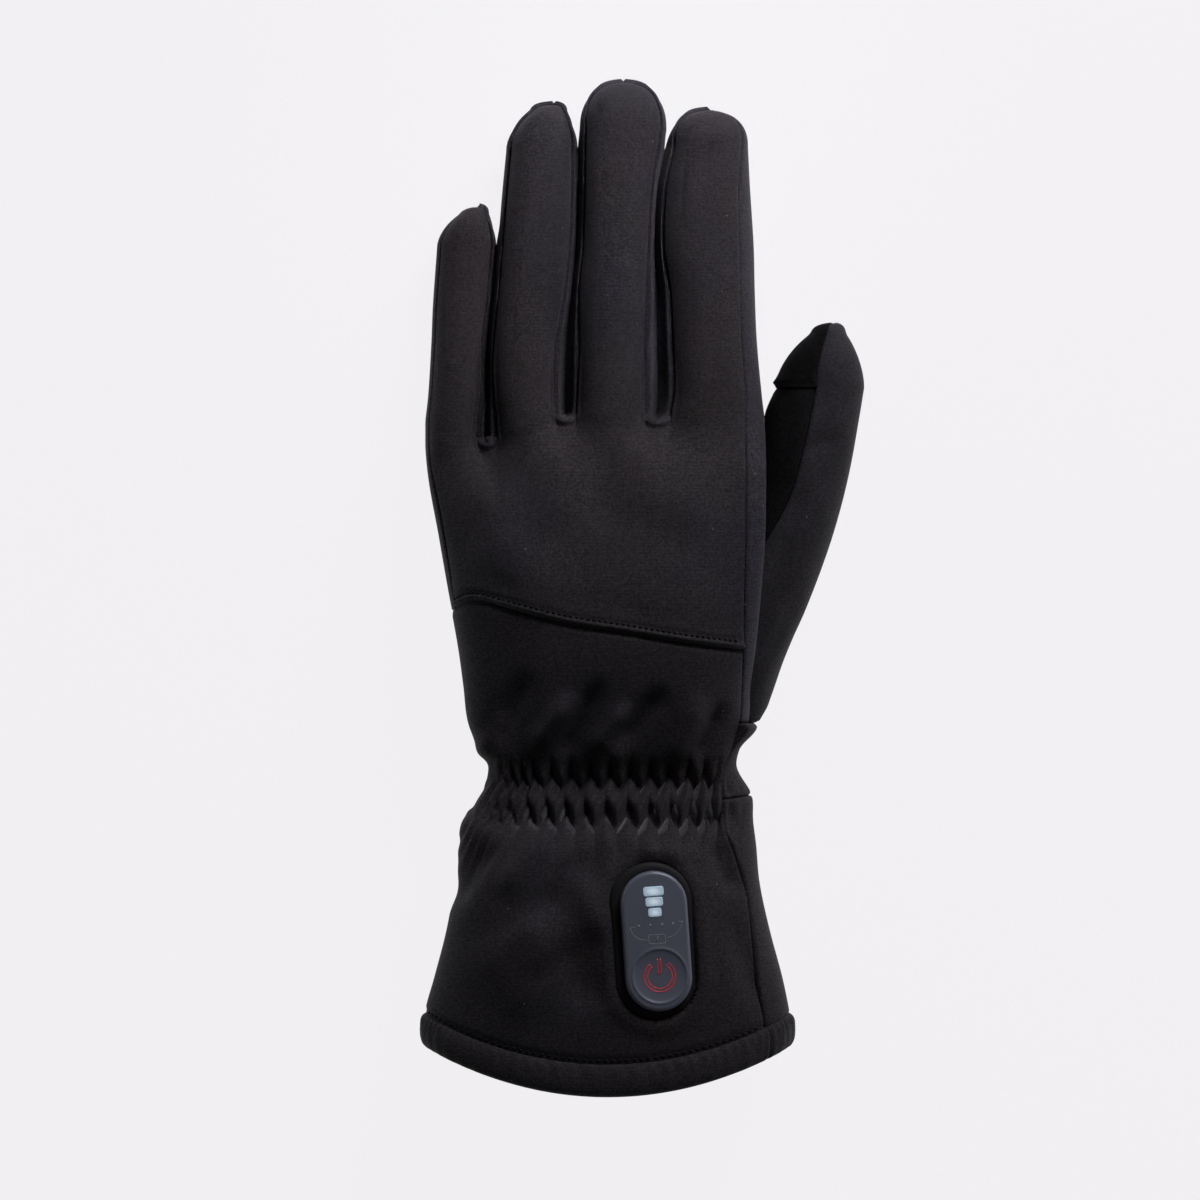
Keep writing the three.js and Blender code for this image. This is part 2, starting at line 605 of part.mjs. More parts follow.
function thumbRows(from, to, count, levels, tips) {
  const rows = levels.map(y => {
    const section = thumbSection(y);
    const seam = fair(thumbShape, (y - thumbRootY) / thumbLength, 'seam');
    return thumbRow(section, y, inset(section, wall), y, from(section, seam), to(section, seam), count);
  });
  const straight = thumbSection(thumbRoundY);
  const seam = thumbShape.at(-1).seam;
  tips.forEach(share => {
    const outside = roundedEnd(straight, thumbTip * palmWidth, thumbBlunt, share);
    const inside = roundedEnd(inset(straight, wall), thumbTip * palmWidth, thumbBlunt, share);
    rows.push(thumbRow(outside, thumbRoundY + share * thumbRoundLength, inside,
      thumbRoundY + share * (thumbRoundLength - wall), from(outside, seam), to(outside, seam), count));
  });
  return rows;
}

// Rows of a thumb piece go from its root up. One that reaches the tip ends in a fan, half a gap
// to the given side of the tip.
function thumbPiece(from, to, count, levels, tips, side) {
  const patch = startPatch();
  const rows = thumbRows(from, to, count, levels, tips);
  const numbered = rows.map(row => row.map(([outside, inside]) => patch.corner(outside, inside)));
  numbered.slice(1).forEach((row, i) => patch.join(row, numbered[i]));
  if (tips.length > 0) {
    const tip = depth => [thumbTip * palmWidth + side * seamGap / 2, thumbRootY + thumbLength - depth,
      thumbEdge * thumbThickness];
    patch.fan(numbered.at(-1), patch.corner(tip(0), tip(wall)));
  }
  return closePatch(patch);
}

const afterSeam = (section, seam) => besideSeam(section, seam, 2);
const beforeSeam = (section, seam) => besideSeam(section, seam, -2);
const afterUnder = section => besideSeam(section, underSeam - 360, 1);
const beforeUnder = section => besideSeam(section, underSeam, -1);
const thumbTips = [0.5, 0.8, 0.95];

const envelopeLevels = [0.1, 0.14, 0.18, 0.22, 0.27, 0.365, 0.45, 0.52, 0.6, 0.68, 0.76, 0.85, 1];
const bodyEnvelope = tubeSolid(envelopeLevels.map(at => {
  const section = inset(bodySection(wristY + at * palmLength), -seamGap);
  const lowered = { ...section, floor: -seamGap };
  return Array.from({ length: 40 }, (_, i) => {
    const { x, z } = roundSection(lowered, 9 * i);
    return [x, wristY + at * palmLength, z];
  });
}));
const thumbHollow = tubeSolid(thumbLevels.slice(2).map(y => {
  const section = inset(thumbSection(y), wall);
  return Array.from({ length: 24 }, (_, i) => {
    const { x, z } = roundSection(section, 15 * i);
    return [x, y, z];
  });
}));

// Control, in its own frame: X across, Y along, Z out of the cuff
const controlPlace = table(['name', 'level', 'across'],
  ['housing', 0.545, 0.30])[0];

function stadium(length, width) {
  const [radius, straight] = [width / 2, (length - width) / 2];
  const shape = new THREE.Shape();
  shape.absarc(0, straight, radius, 0, Math.PI, false);
  shape.absarc(0, -straight, radius, Math.PI, 2 * Math.PI, false);
  return shape;
}

function slab(shape, bottom, top, bevel = 0) {
  const geometry = new THREE.ExtrudeGeometry(shape, { depth: top - bottom - 2 * bevel, curveSegments: 7,
    bevelEnabled: bevel > 0, bevelSize: bevel, bevelThickness: bevel, bevelSegments: 1, bevelOffset: -bevel });
  return geometry.translate(0, 0, bottom + bevel);
}

const buttonY = -controlLength / 2 + controlWidth / 2 + buttonFromEnd;
const firstBarY = controlLength / 2 - barsFromTop;
const bars = [0.30, 0.256, 0.20].map((share, i) => ({
  name: `light_bar_${i + 1}`, width: share * controlWidth, y: firstBarY - i * barPitch,
}));

function housingPiece() {
  const body = slab(stadium(controlLength, controlWidth), controlProud - controlHeight, controlProud, controlBevel);
  const dishRadius = (buttonDiameter ** 2 / 4 + buttonDish ** 2) / (2 * buttonDish);
  const dishAngle = Math.asin(buttonDiameter / 2 / dishRadius);
  const arc = Array.from({ length: 5 }, (_, i) => {
    const angle = dishAngle * i / 4;
    return new THREE.Vector2(dishRadius * Math.sin(angle), dishRadius * (1 - Math.cos(angle)) - buttonDish);
  });
  const lens = new THREE.LatheGeometry([...arc, new THREE.Vector2(0, buttonDish)], 20).rotateX(Math.PI / 2);
  lens.translate(0, buttonY, controlProud);
  const pockets = bars.map(bar => new THREE.BoxGeometry(bar.width + 2 * barClearance, barHeight + 2 * barClearance,
    2 * (barThickness + barClearance)).translate(0, bar.y, controlProud));
  return cut(body, lens, ...pockets);
}

const control = new THREE.Group();
function placeControl() {
  const level = wristY - controlPlace.level * cuffLength;
  const at = share => {
    const section = bodySection(level);
    const y = level - bow(level, share);
    return new THREE.Vector3(placeAt(section, share), y, heightAt(section, share, true));
  };
  const [here, beside] = [at(controlPlace.across), at(controlPlace.across + 0.1)];
  const slope = Math.atan2(here.z - beside.z, beside.x - here.x);
  control.position.copy(here);
  control.rotation.set(0, slope, degToRad(controlTilt), 'YXZ');
  control.updateMatrixWorld(true);
}
placeControl();

// Materials, one per kind of surface
const finish = (color, roughness) => () => new THREE.MeshStandardMaterial({ color, roughness, metalness: 0 });
const softshell = finish(0x1c1b1d, 0.85);
const sideShell = finish(0x222227, 0.85);
const nap = finish(0x121113, 0.95);
const rubber = finish(0x33363b, 0.5);
const lens = finish(0xa8c4d4, 0.3);

const glove = new THREE.Group();
function add(parent, name, geometry, material) {
  const mesh = new THREE.Mesh(geometry, material());
  mesh.name = name;
  parent.add(mesh);
}

add(glove, 'back_panel', back.geometry, softshell);
add(glove, 'palm_panel', cut(palm.geometry, thumbHollow), softshell);

webs.forEach(({ name }, k) => {
  const [upper, lower] = [back.seams.webs[k], palm.seams.webs[k]];
  const bottom = (upper.length - 1) / 2;
  const [beforeWeb, afterWeb] = [onSide(y => roundedFinger(fingers[k], y), -1),
    onSide(y => roundedFinger(fingers[k + 1], y), 1)];
  const settle = (i, depth, point) => {
    if (i === bottom) return [point[0], point[1] + webRadius / 4, point[2]];
    return (i < bottom ? beforeWeb : afterWeb)(i, depth, point);
  };
  add(glove, `fourchette_${name}`, stripPiece(upper, lower, settle), sideShell);
});

const cuffBackRows = cuffBackPiece();
const belowFlapRight = cuffBackRows.slice(0, belowFlap.length).map(row => row[0]);
const indexUpper = [...back.seams.right, ...belowFlapRight.slice(1)];
const indexSection = y => (y > webY ? roundedFinger(fingers[0], y) : bodySection(y));
const littleBase = webY + webs[2].rise * palmLength;
const littleSection = y => (y > littleBase ? roundedFinger(fingers[3], y) : bodySection(y));
const indexSide = stripPiece(indexUpper, palm.seams.right, onSide(indexSection, 1));
add(glove, 'index_side_panel', cut(indexSide, thumbHollow), sideShell);
const littleLower = palm.seams.left.slice(0, back.seams.left.length);
add(glove, 'little_side_panel', stripPiece(back.seams.left, littleLower, onSide(littleSection, -1)), sideShell);

const cutOut = slab(stadium(controlLength + 2 * controlClearance, controlWidth + 2 * controlClearance),
  -2 * controlHeight, 2 * controlHeight).applyMatrix4(control.matrixWorld);
add(glove, 'cuff_back', cut(gridPiece(cuffBackRows), cutOut), softshell);
const stripLevels = [palmEnd - seamGap / 2, ...shirredLevels.filter(isStrip), stripEnd + seamGap / 2];
const cuffLevels = [stripEnd - seamGap / 2, ...shirredLevels.filter(level => !isStrip(level)), ...smoothLevels];
add(glove, 'wrist_strip', gridPiece(palmSideRows(stripLevels)), softshell);
add(glove, 'cuff_palm', gridPiece(palmSideRows(cuffLevels)), softshell);
add(glove, 'hem_binding', hemPiece(), softshell);

const patchY = thumbRootY + patchFrom * thumbLength;
const innerLevels = [...thumbLevels.slice(0, -1), patchY - seamGap / 2];
const thumbOuter = thumbPiece(afterUnder, beforeSeam, 11, thumbLevels, thumbTips, 1);
add(glove, 'thumb_outer_panel', cut(thumbOuter, bodyEnvelope), sideShell);
const thumbInner = thumbPiece(afterSeam, beforeUnder, 9, innerLevels, []);
add(glove, 'thumb_inner_panel', cut(thumbInner, bodyEnvelope), softshell);
const touchPatch = thumbPiece(afterSeam, beforeUnder, 9, [patchY + seamGap / 2], thumbTips, -1);
add(glove, 'thumb_touch_patch', touchPatch, nap);

add(control, 'control_housing', housingPiece(), rubber);
bars.forEach(({ name, width, y }) => {
  const bar = new THREE.BoxGeometry(width, barHeight, barThickness);
  add(control, name, bar.translate(0, y, controlProud - barThickness / 2), lens);
});
glove.add(control);

export default glove;
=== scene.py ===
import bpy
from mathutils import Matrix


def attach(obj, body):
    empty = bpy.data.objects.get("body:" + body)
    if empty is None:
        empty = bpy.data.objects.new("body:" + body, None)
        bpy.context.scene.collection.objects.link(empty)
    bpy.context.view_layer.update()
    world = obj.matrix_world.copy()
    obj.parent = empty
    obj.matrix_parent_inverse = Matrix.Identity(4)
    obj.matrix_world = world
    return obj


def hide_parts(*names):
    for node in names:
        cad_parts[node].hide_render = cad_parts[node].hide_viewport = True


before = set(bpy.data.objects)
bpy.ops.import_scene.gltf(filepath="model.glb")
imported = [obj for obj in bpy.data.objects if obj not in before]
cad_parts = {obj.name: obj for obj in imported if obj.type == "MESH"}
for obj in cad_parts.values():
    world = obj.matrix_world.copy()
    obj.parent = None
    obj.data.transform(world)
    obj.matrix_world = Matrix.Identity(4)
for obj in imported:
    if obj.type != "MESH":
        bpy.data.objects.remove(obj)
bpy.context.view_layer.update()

import math

import bpy
import numpy as np
from mathutils import Matrix, Vector, kdtree

# Heated glove for the left hand. Sizes are millimetres until a mesh is made;
# +Y points to the fingertips, +X to the thumb, and the palm lies on the floor.
rng = np.random.default_rng(11)

view = {"centre": (0.0014, 0.0098), "height": 0.3392, "distance": 1.9, "plane": 0.018, "sensor": 36, "far": 20}
camera = bpy.data.objects.new("camera", bpy.data.cameras.new("camera"))
camera.data.sensor_width = view["sensor"]
camera.data.lens = view["sensor"] * (view["distance"] - view["plane"]) / view["height"]
camera.data.clip_end = view["far"]
camera.location = (*view["centre"], view["distance"])
bpy.context.collection.objects.link(camera)
bpy.context.scene.camera = camera
bpy.context.scene.view_settings.view_transform = "Standard"

studio = {
    "floorGlow": (0.869, 0.853, 0.877), "floorPaint": 0.03, "floorReach": 6.0, "floorDrop": 0.0002,
    "world": (0.035, 0.034, 0.037), "worldPower": 1.0, "lightColour": (1.0, 0.965, 1.02),
    "lights": [  # name, place, aim, size, power, spread in degrees
        ("softbox", (0.36, 0.68, 0.42), (0.0, 0.04, 0.0), 0.45, 7.4, 180),
        ("fingerLight", (0.22, 0.66, 0.62), (0.020, 0.165, 0.02), 0.12, 0.055, 14),
        ("leftFill", (-1.3, 0.3, 0.8), (0.0, 0.0, 0.0), 0.9, 1.7, 180),
        ("thumbFill", (1.4, 0.0, 0.6), (0.0, 0.0, 0.0), 0.9, 1.35, 180),
    ],
}
for lightName, place, aim, size, power, spread in studio["lights"]:
    light = bpy.data.lights.new(lightName, "AREA")
    light.shape = "DISK"
    light.size = size
    light.energy = power
    light.spread = math.radians(spread)
    light.color = studio["lightColour"]
    lamp = bpy.data.objects.new(lightName, light)
    lamp.location = place
    lamp.rotation_euler = (Vector(aim) - Vector(place)).to_track_quat("-Z", "Y").to_euler()
    bpy.context.collection.objects.link(lamp)
world = bpy.data.worlds.new("studio")
world.use_nodes = True
background = world.node_tree.nodes["Background"]
background.inputs["Color"].default_value = (*studio["world"], 1)
background.inputs["Strength"].default_value = studio["worldPower"]
bpy.context.scene.world = world
print("camera and lights are set")


# Materials: a number or a colour is set on a socket, and another node's output is linked to it
def feed(tree, socket, value):
    if isinstance(value, bpy.types.NodeSocket):
        tree.links.new(value, socket)
    elif isinstance(value, tuple) and socket.type == "RGBA":
        socket.default_value = (*value, 1)
    else:
        socket.default_value = value


def feedAll(tree, node, values):
    for label, value in values.items():
        feed(tree, node.inputs[label], value)


def addNode(tree, kind, sockets=(), **settings):
    node = tree.nodes.new(kind)
    for label, value in settings.items():
        setattr(node, label, value)
    feedAll(tree, node, dict(sockets))
    return node


def newMaterial(name):
    material = bpy.data.materials.new(name)
    material.use_nodes = True
    return material, material.node_tree, material.node_tree.nodes["Principled BSDF"]


def newGroup(name, inputs, outputs):  # an input without a value is a vector
    tree = bpy.data.node_groups.new(name, "ShaderNodeTree")
    for label, value in inputs.items():
        kind = "NodeSocketVector" if value is None else "NodeSocketFloat"
        socket = tree.interface.new_socket(label, in_out="INPUT", socket_type=kind)
        if value is not None:
            socket.default_value = value
    for label in outputs:
        tree.interface.new_socket(label, in_out="OUTPUT", socket_type="NodeSocketFloat")
    return tree, tree.nodes.new("NodeGroupInput").outputs, tree.nodes.new("NodeGroupOutput")


def mathNode(tree, operation, first, second):
    return addNode(tree, "ShaderNodeMath", {0: first, 1: second}, operation=operation).outputs[0]


def mixColour(tree, factor, first, second, blend="MIX"):
    sockets = {0: factor, 6: first, 7: second}
    return addNode(tree, "ShaderNodeMix", sockets, data_type="RGBA", blend_type=blend).outputs[2]


def remap(tree, value, low, high, newLow=0.0, newHigh=1.0):
    sockets = dict(enumerate((value, low, high, newLow, newHigh)))
    return addNode(tree, "ShaderNodeMapRange", sockets, interpolation_type="SMOOTHSTEP").outputs[0]


def bumpFrom(tree, height, strength, distance):
    sockets = {"Height": height, "Strength": strength, "Distance": distance}
    return addNode(tree, "ShaderNodeBump", sockets).outputs["Normal"]


def knitGroup():  # fine knit face: rows of tiny loops, much broken up by grain
    inputs = {"Vector": None, "Rows": 330.0, "Grain": 1900.0}
    tree, given, result = newGroup("knitGrain", inputs, ["Height", "Shade"])
    wave = addNode(tree, "ShaderNodeTexWave", {"Vector": given["Vector"], "Scale": given["Rows"], "Distortion": 2.5,
                                               "Detail": 2.0, "Detail Scale": 2.0}, bands_direction="Y")
    grain = addNode(tree, "ShaderNodeTexNoise", {"Vector": given["Vector"], "Scale": given["Grain"], "Detail": 4.0,
                                                 "Roughness": 0.75})
    both = mathNode(tree, "ADD", mathNode(tree, "MULTIPLY", wave.outputs["Fac"], 0.045), grain.outputs["Fac"])
    feedAll(tree, result, {"Height": both, "Shade": remap(tree, both, 0.36, 0.70)})
    return tree


def toneGroup():  # slow drift of tone, and a few specks of lint
    tree, given, result = newGroup("toneDrift", {"Vector": None, "Patches": 28.0}, ["Warm", "Light", "Lint"])
    for output, factor in (("Warm", 1.0), ("Light", 2.3)):
        scale = mathNode(tree, "MULTIPLY", given["Patches"], factor)
        noise = addNode(tree, "ShaderNodeTexNoise", {"Vector": given["Vector"], "Scale": scale, "Detail": 3.0,
                                                     "Roughness": 0.55})
        feed(tree, result.inputs[output], remap(tree, noise.outputs["Fac"], 0.35, 0.65))
    specks = addNode(tree, "ShaderNodeTexVoronoi", {"Vector": given["Vector"], "Scale": 330.0})
    near = remap(tree, specks.outputs["Distance"], 0.03, 0.075, 1.0, 0.0)
    chosen = mathNode(tree, "GREATER_THAN", specks.outputs["Color"], 0.80)
    feed(tree, result.inputs["Lint"], mathNode(tree, "MULTIPLY", near, chosen))
    return tree


knitGrain = knitGroup()
toneDrift = toneGroup()
softshell = {"cool": (0.0098, 0.0088, 0.0122), "warm": (0.0130, 0.0102, 0.0112), "pale": (0.0160, 0.0138, 0.0172),
             "lintColour": (0.30, 0.29, 0.29), "rows": 330.0, "grain": 1350.0, "patches": 26.0, "contrast": 1.35,
             "lint": 0.6, "roughness": 0.80, "specular": 0.20, "sheen": 0.04, "bump": 0.8}


def clothMaterial(name, **changes):
    cloth = {**softshell, **changes}
    material, tree, shader = newMaterial(name)
    where = tree.nodes.new("ShaderNodeTexCoord").outputs["Object"]
    knit = addNode(tree, "ShaderNodeGroup", node_tree=knitGrain)
    feedAll(tree, knit, {"Vector": where, "Rows": cloth["rows"], "Grain": cloth["grain"]})
    tone = addNode(tree, "ShaderNodeGroup", node_tree=toneDrift)
    feedAll(tree, tone, {"Vector": where, "Patches": cloth["patches"]})
    colour = mixColour(tree, tone.outputs["Warm"], cloth["cool"], cloth["warm"])
    colour = mixColour(tree, mathNode(tree, "MULTIPLY", tone.outputs["Light"], 0.5), colour, cloth["pale"])
    shade = mathNode(tree, "MULTIPLY", knit.outputs["Shade"], cloth["contrast"])
    grey = mathNode(tree, "ADD", shade, 1 - cloth["contrast"] / 2)
    greyColour = addNode(tree, "ShaderNodeCombineColor", {0: grey, 1: grey, 2: grey}).outputs[0]
    colour = mixColour(tree, 1.0, colour, greyColour, "MULTIPLY")
    lint = mathNode(tree, "MULTIPLY", tone.outputs["Lint"], cloth["lint"])
    smoother = mathNode(tree, "MULTIPLY", knit.outputs["Shade"], -0.10)
    feedAll(tree, shader, {
        "Base Color": mixColour(tree, lint, colour, cloth["lintColour"]),
        "Roughness": mathNode(tree, "ADD", smoother, cloth["roughness"] + 0.05),
        "Normal": bumpFrom(tree, knit.outputs["Height"], cloth["bump"], 0.00022),
        "Specular IOR Level": cloth["specular"], "Sheen Weight": cloth["sheen"], "Sheen Roughness": 0.55,
        "Sheen Tint": (0.86, 0.86, 0.92)})
    return material


softshellCloth = clothMaterial("softshell")
# painted light: a lighter, bluer copy of the softshell for the finger sides and the cloth between the fingers, for
# the light they catch from the side and the floor
sideLitCloth = clothMaterial("side_shell", cool=(0.0135, 0.0128, 0.0185), warm=(0.0155, 0.0138, 0.0172),
                          pale=(0.0190, 0.0178, 0.0235))
thumbCloth = clothMaterial("thumb_shell", cool=(0.0070, 0.0066, 0.0092), warm=(0.0080, 0.0070, 0.0085))
# the thumb's inner panel is a darker fabric, made darker still with painted shade for the hollow where it faces the
# hand
thumbInsideDarkAndShaded = clothMaterial("thumb_inside_dark_and_painted_shade", cool=(0.0020, 0.0019, 0.0023), warm=(0.0027, 0.0024, 0.0026),
                                 pale=(0.0040, 0.0036, 0.0040), grain=1150.0, specular=0.08, sheen=0.0)
bindingCloth = clothMaterial("binding", cool=(0.0092, 0.0084, 0.0110), grain=1600.0, bump=0.9)
fleece = clothMaterial("fleece", cool=(0.010, 0.010, 0.012), warm=(0.013, 0.012, 0.012), rows=200.0, grain=900.0,
                       lint=0.2, sheen=0.3, bump=1.0)
patchCloth = clothMaterial("touch_nap", cool=(0.0016, 0.0015, 0.0017), warm=(0.0024, 0.0020, 0.0020),
                           pale=(0.0046, 0.0042, 0.0044), rows=260.0, grain=1300.0, roughness=0.9, specular=0.05,
                           sheen=0.01, bump=1.0)


def plasticMaterial(name, dark, light, grain, roughness, bump, specular):
    material, tree, shader = newMaterial(name)
    where = tree.nodes.new("ShaderNodeTexCoord").outputs["Object"]
    fine = addNode(tree, "ShaderNodeTexNoise", {"Vector": where, "Scale": grain, "Detail": 2.0}).outputs["Fac"]
    patchy = addNode(tree, "ShaderNodeTexNoise", {"Vector": where, "Scale": 60.0, "Detail": 4.0}).outputs["Fac"]
    feedAll(tree, shader, {
        "Base Color": mixColour(tree, patchy, dark, light),
        "Roughness": remap(tree, patchy, 0.3, 0.7, roughness - 0.05, roughness + 0.06),
        "Normal": bumpFrom(tree, fine, bump, 0.00005), "Specular IOR Level": specular})
    return material


# Columns: name, dark and light colour, grain, roughness, bump, specular
coverPlastic = plasticMaterial("control_cover", (0.074, 0.083, 0.110), (0.088, 0.098, 0.128), 6000.0, 0.42, 0.25, 0.5)
# the recess band is near-black: painted shade for the gap round the control
recessShadeBand = plasticMaterial("recess_shade", (0.003, 0.003, 0.0035), (0.005, 0.005, 0.006), 3000.0, 0.75, 0.5, 0.25)
# the thread is black, and it is made darker than the cloth with painted shade for its sunken stitch holes
threadWithHoleShade = plasticMaterial("thread", (0.0012, 0.0012, 0.0015), (0.0035, 0.0035, 0.0040), 5000.0, 0.7, 0.8, 0.15)
printGrey = plasticMaterial("print_grey", (0.13, 0.15, 0.17), (0.17, 0.19, 0.21), 5000.0, 0.5, 0.2, 0.4)
printRed = plasticMaterial("print_red", (0.50, 0.035, 0.045), (0.60, 0.050, 0.060), 5000.0, 0.45, 0.2, 0.4)


def windowMaterial():  # lit most in the middle
    material, tree, shader = newMaterial("light_window")
    where = tree.nodes.new("ShaderNodeTexCoord").outputs["Generated"]
    middle = addNode(tree, "ShaderNodeVectorMath", {0: where, 1: (0.5, 0.5, 0.8)}, operation="DISTANCE")
    centre = remap(tree, middle.outputs["Value"], 0.05, 0.55, 1.0, 0.0)
    feedAll(tree, shader, {
        "Base Color": mixColour(tree, centre, (0.26, 0.36, 0.44), (0.46, 0.55, 0.60)),
        "Emission Color": mixColour(tree, centre, (0.14, 0.19, 0.23), (0.27, 0.32, 0.35)),
        "Emission Strength": 1.0, "Roughness": 0.28})
    return material


windowGlow = windowMaterial()
print("materials are made")

# Sizes and section tables, the same as the solids'
sizes = {
    "palmWidth": 96.0, "palmLength": 102.0, "handThickness": 38.0, "fingerLength": 96.0, "fingerThickness": 28.0,
    "wristWidth": 69.3, "wristThickness": 31.0, "cuffWidth": 105.3, "cuffLength": 66.0, "cuffThickness": 42.0,
    "hemBow": 13.2, "hemHeight": 8.6, "hemThickness": 4.2, "thumbLength": 113.7, "thumbWidth": 26.0,
    "thumbThickness": 21.5, "wall": 2.3, "webRadius": 2.2,
}
palmWidth, palmLength, cuffLength, wall = (sizes[key] for key in ("palmWidth", "palmLength", "cuffLength", "wall"))
wristY = -0.406 * palmLength
webY = wristY + palmLength
palmEnd = wristY + 0.163 * palmLength
stripEnd = wristY - 0.055 * cuffLength
hemTop = wristY - cuffLength

bodyColumns = ("left", "right", "seam", "top", "edgeLeft", "edgeRight", "bottom")  # after each row's place
handShape = [
    (1.10, -0.492, 0.494, 0.442, 0.71, 0.34, 0.45, -0.04), (1.00, -0.502, 0.502, 0.443, 0.75, 0.36, 0.52, -0.05),
    (0.85, -0.493, 0.502, 0.443, 0.83, 0.40, 0.66, -0.06), (0.68, -0.461, 0.499, 0.443, 0.93, 0.43, 0.71, -0.07),
    (0.52, -0.431, 0.487, 0.440, 1.00, 0.44, 0.68, -0.07), (0.365, -0.399, 0.472, 0.437, 0.99, 0.44, 0.58, -0.06),
    (0.263, -0.384, 0.458, 0.434, 0.95, 0.44, 0.48, -0.05), (0.166, -0.372, 0.452, 0.427, 0.90, 0.45, 0.44, -0.02)]
wristShape = [
    (0.085, -0.470, 0.590, 0.556, 1.06, 0.55, 0.55, 0.02), (0.038, -0.432, 0.582, 0.527, 1.00, 0.56, 0.56, 0.08),
    (-0.036, -0.463, 0.640, 0.524, 1.04, 0.57, 0.57, 0.09)]
cuffShape = [
    (0.175, -0.353, 0.428, 0.350, 0.86, 0.46, 0.46, 0.03), (0.27, -0.364, 0.436, 0.374, 0.92, 0.46, 0.46, -0.01),
    (0.43, -0.380, 0.446, 0.404, 0.98, 0.46, 0.46, -0.03), (0.64, -0.402, 0.474, 0.425, 1.00, 0.46, 0.46, -0.03),
    (0.84, -0.431, 0.505, 0.440, 0.98, 0.46, 0.46, -0.03), (1.00, -0.458, 0.524, 0.456, 0.95, 0.46, 0.46, -0.03),
    (1.13, -0.465, 0.535, 0.460, 0.93, 0.46, 0.46, -0.03)]
fingers = [  # rows: place, left, right, seam
    {"reach": 0.918, "roundFrom": 0.88, "tip": 0.3375, "baseTop": 0.94, "tipTop": 0.80, "tipHeight": 0.39,
     "blunt": 2.2,
     "rows": [(0.00, 0.197, 0.502, 0.446), (0.08, 0.217, 0.493, 0.446), (0.26, 0.211, 0.478, 0.434),
              (0.42, 0.203, 0.472, 0.431), (0.56, 0.183, 0.469, 0.428), (0.75, 0.191, 0.458, 0.426),
              (0.88, 0.218, 0.452, 0.435)]},
    {"reach": 1.0, "roundFrom": 0.86, "tip": 0.0836, "baseTop": 1.00, "tipTop": 0.81, "tipHeight": 0.39,
     "blunt": 2.2,
     "rows": [(0.00, -0.073, 0.164, 0.150), (0.07, -0.062, 0.161, 0.148), (0.24, -0.062, 0.163, 0.149),
              (0.39, -0.063, 0.167, 0.154), (0.51, -0.051, 0.172, 0.159), (0.69, -0.046, 0.182, 0.169),
              (0.86, -0.045, 0.211, 0.196)]},
    {"reach": 0.935, "roundFrom": 0.85, "tip": -0.120, "baseTop": 0.98, "tipTop": 0.77, "tipHeight": 0.38,
     "blunt": 1.7,
     "rows": [(0.00, -0.311, -0.097, -0.110), (0.09, -0.311, -0.108, -0.121), (0.25, -0.311, -0.100, -0.113),
              (0.41, -0.299, -0.073, -0.087), (0.55, -0.288, -0.059, -0.073), (0.74, -0.273, -0.053, -0.067),
              (0.85, -0.263, -0.052, -0.066)]},
    {"reach": 0.633, "roundFrom": 0.80, "tip": -0.345, "baseTop": 0.84, "tipTop": 0.68, "tipHeight": 0.35,
     "blunt": 1.65,
     "rows": [(0.00, -0.502, -0.327, -0.338), (0.13, -0.493, -0.325, -0.336), (0.37, -0.484, -0.321, -0.332),
              (0.53, -0.480, -0.309, -0.320), (0.80, -0.468, -0.292, -0.303)]},
]
for finger in fingers:  # index, middle, ring, little
    finger["length"] = finger["reach"] * sizes["fingerLength"]
    finger["rows"] = np.array(finger["rows"])
    finger["roundY"] = webY + finger["roundFrom"] * finger["length"]
    finger["roundLength"] = finger["length"] * (1 - finger["roundFrom"])
webs = [("index_middle", 0.000), ("middle_ring", 0.005), ("ring_little", -0.061)]  # name, rise
thumbShape = np.array([  # place, left, width, top, seam angle
    (0.00, 0.250, 0.800, 0.80, 140), (0.045, 0.265, 0.870, 0.92, 140), (0.17, 0.323, 0.835, 1.02, 140),
    (0.29, 0.365, 0.925, 1.03, 138), (0.42, 0.422, 0.935, 1.02, 124), (0.55, 0.458, 0.960, 1.01, 101),
    (0.66, 0.477, 1.000, 1.00, 94), (0.775, 0.502, 1.000, 0.99, 92), (0.835, 0.533, 0.927, 0.97, 96)])
flapEdge = np.array([  # share of half width, height over palm length
    (-0.99, 0.069), (-0.85, 0.094), (-0.67, 0.078), (-0.28, 0.033), (0.16, 0.003), (0.53, -0.022), (0.90, -0.041)])


def lerp(a, b, t):
    return a + (b - a) * t


def smooth(value, low, high):
    t = np.clip((value - low) / (high - low), 0, 1)
    return t * t * (3 - 2 * t)


def hump(value, width):
    return np.exp(-(value / width) ** 2)


def fair(at, rows, column):  # a smooth curve through one column of a table
    x, y = rows[:, 0], rows[:, column]
    slope = np.gradient(y, x)
    slope[1:-1] = (y[2:] - y[:-2]) / (x[2:] - x[:-2])
    i = np.clip(np.searchsorted(x, at, side="right") - 1, 0, len(x) - 2)
    span = x[i + 1] - x[i]
    t = np.clip((at - x[i]) / span, 0, 1)
    pull = slope[i] * (t - 2 * t * t + t ** 3) + slope[i + 1] * (t ** 3 - t * t)
    return lerp(y[i], y[i + 1], t * t * (3 - 2 * t)) + span * pull


def scaledRows(rows, run, width, thickness):
    rows = np.array(rows)
    return np.column_stack([wristY + rows[:, 0] * run, rows[:, 1:4] * width, rows[:, 4:] * thickness])


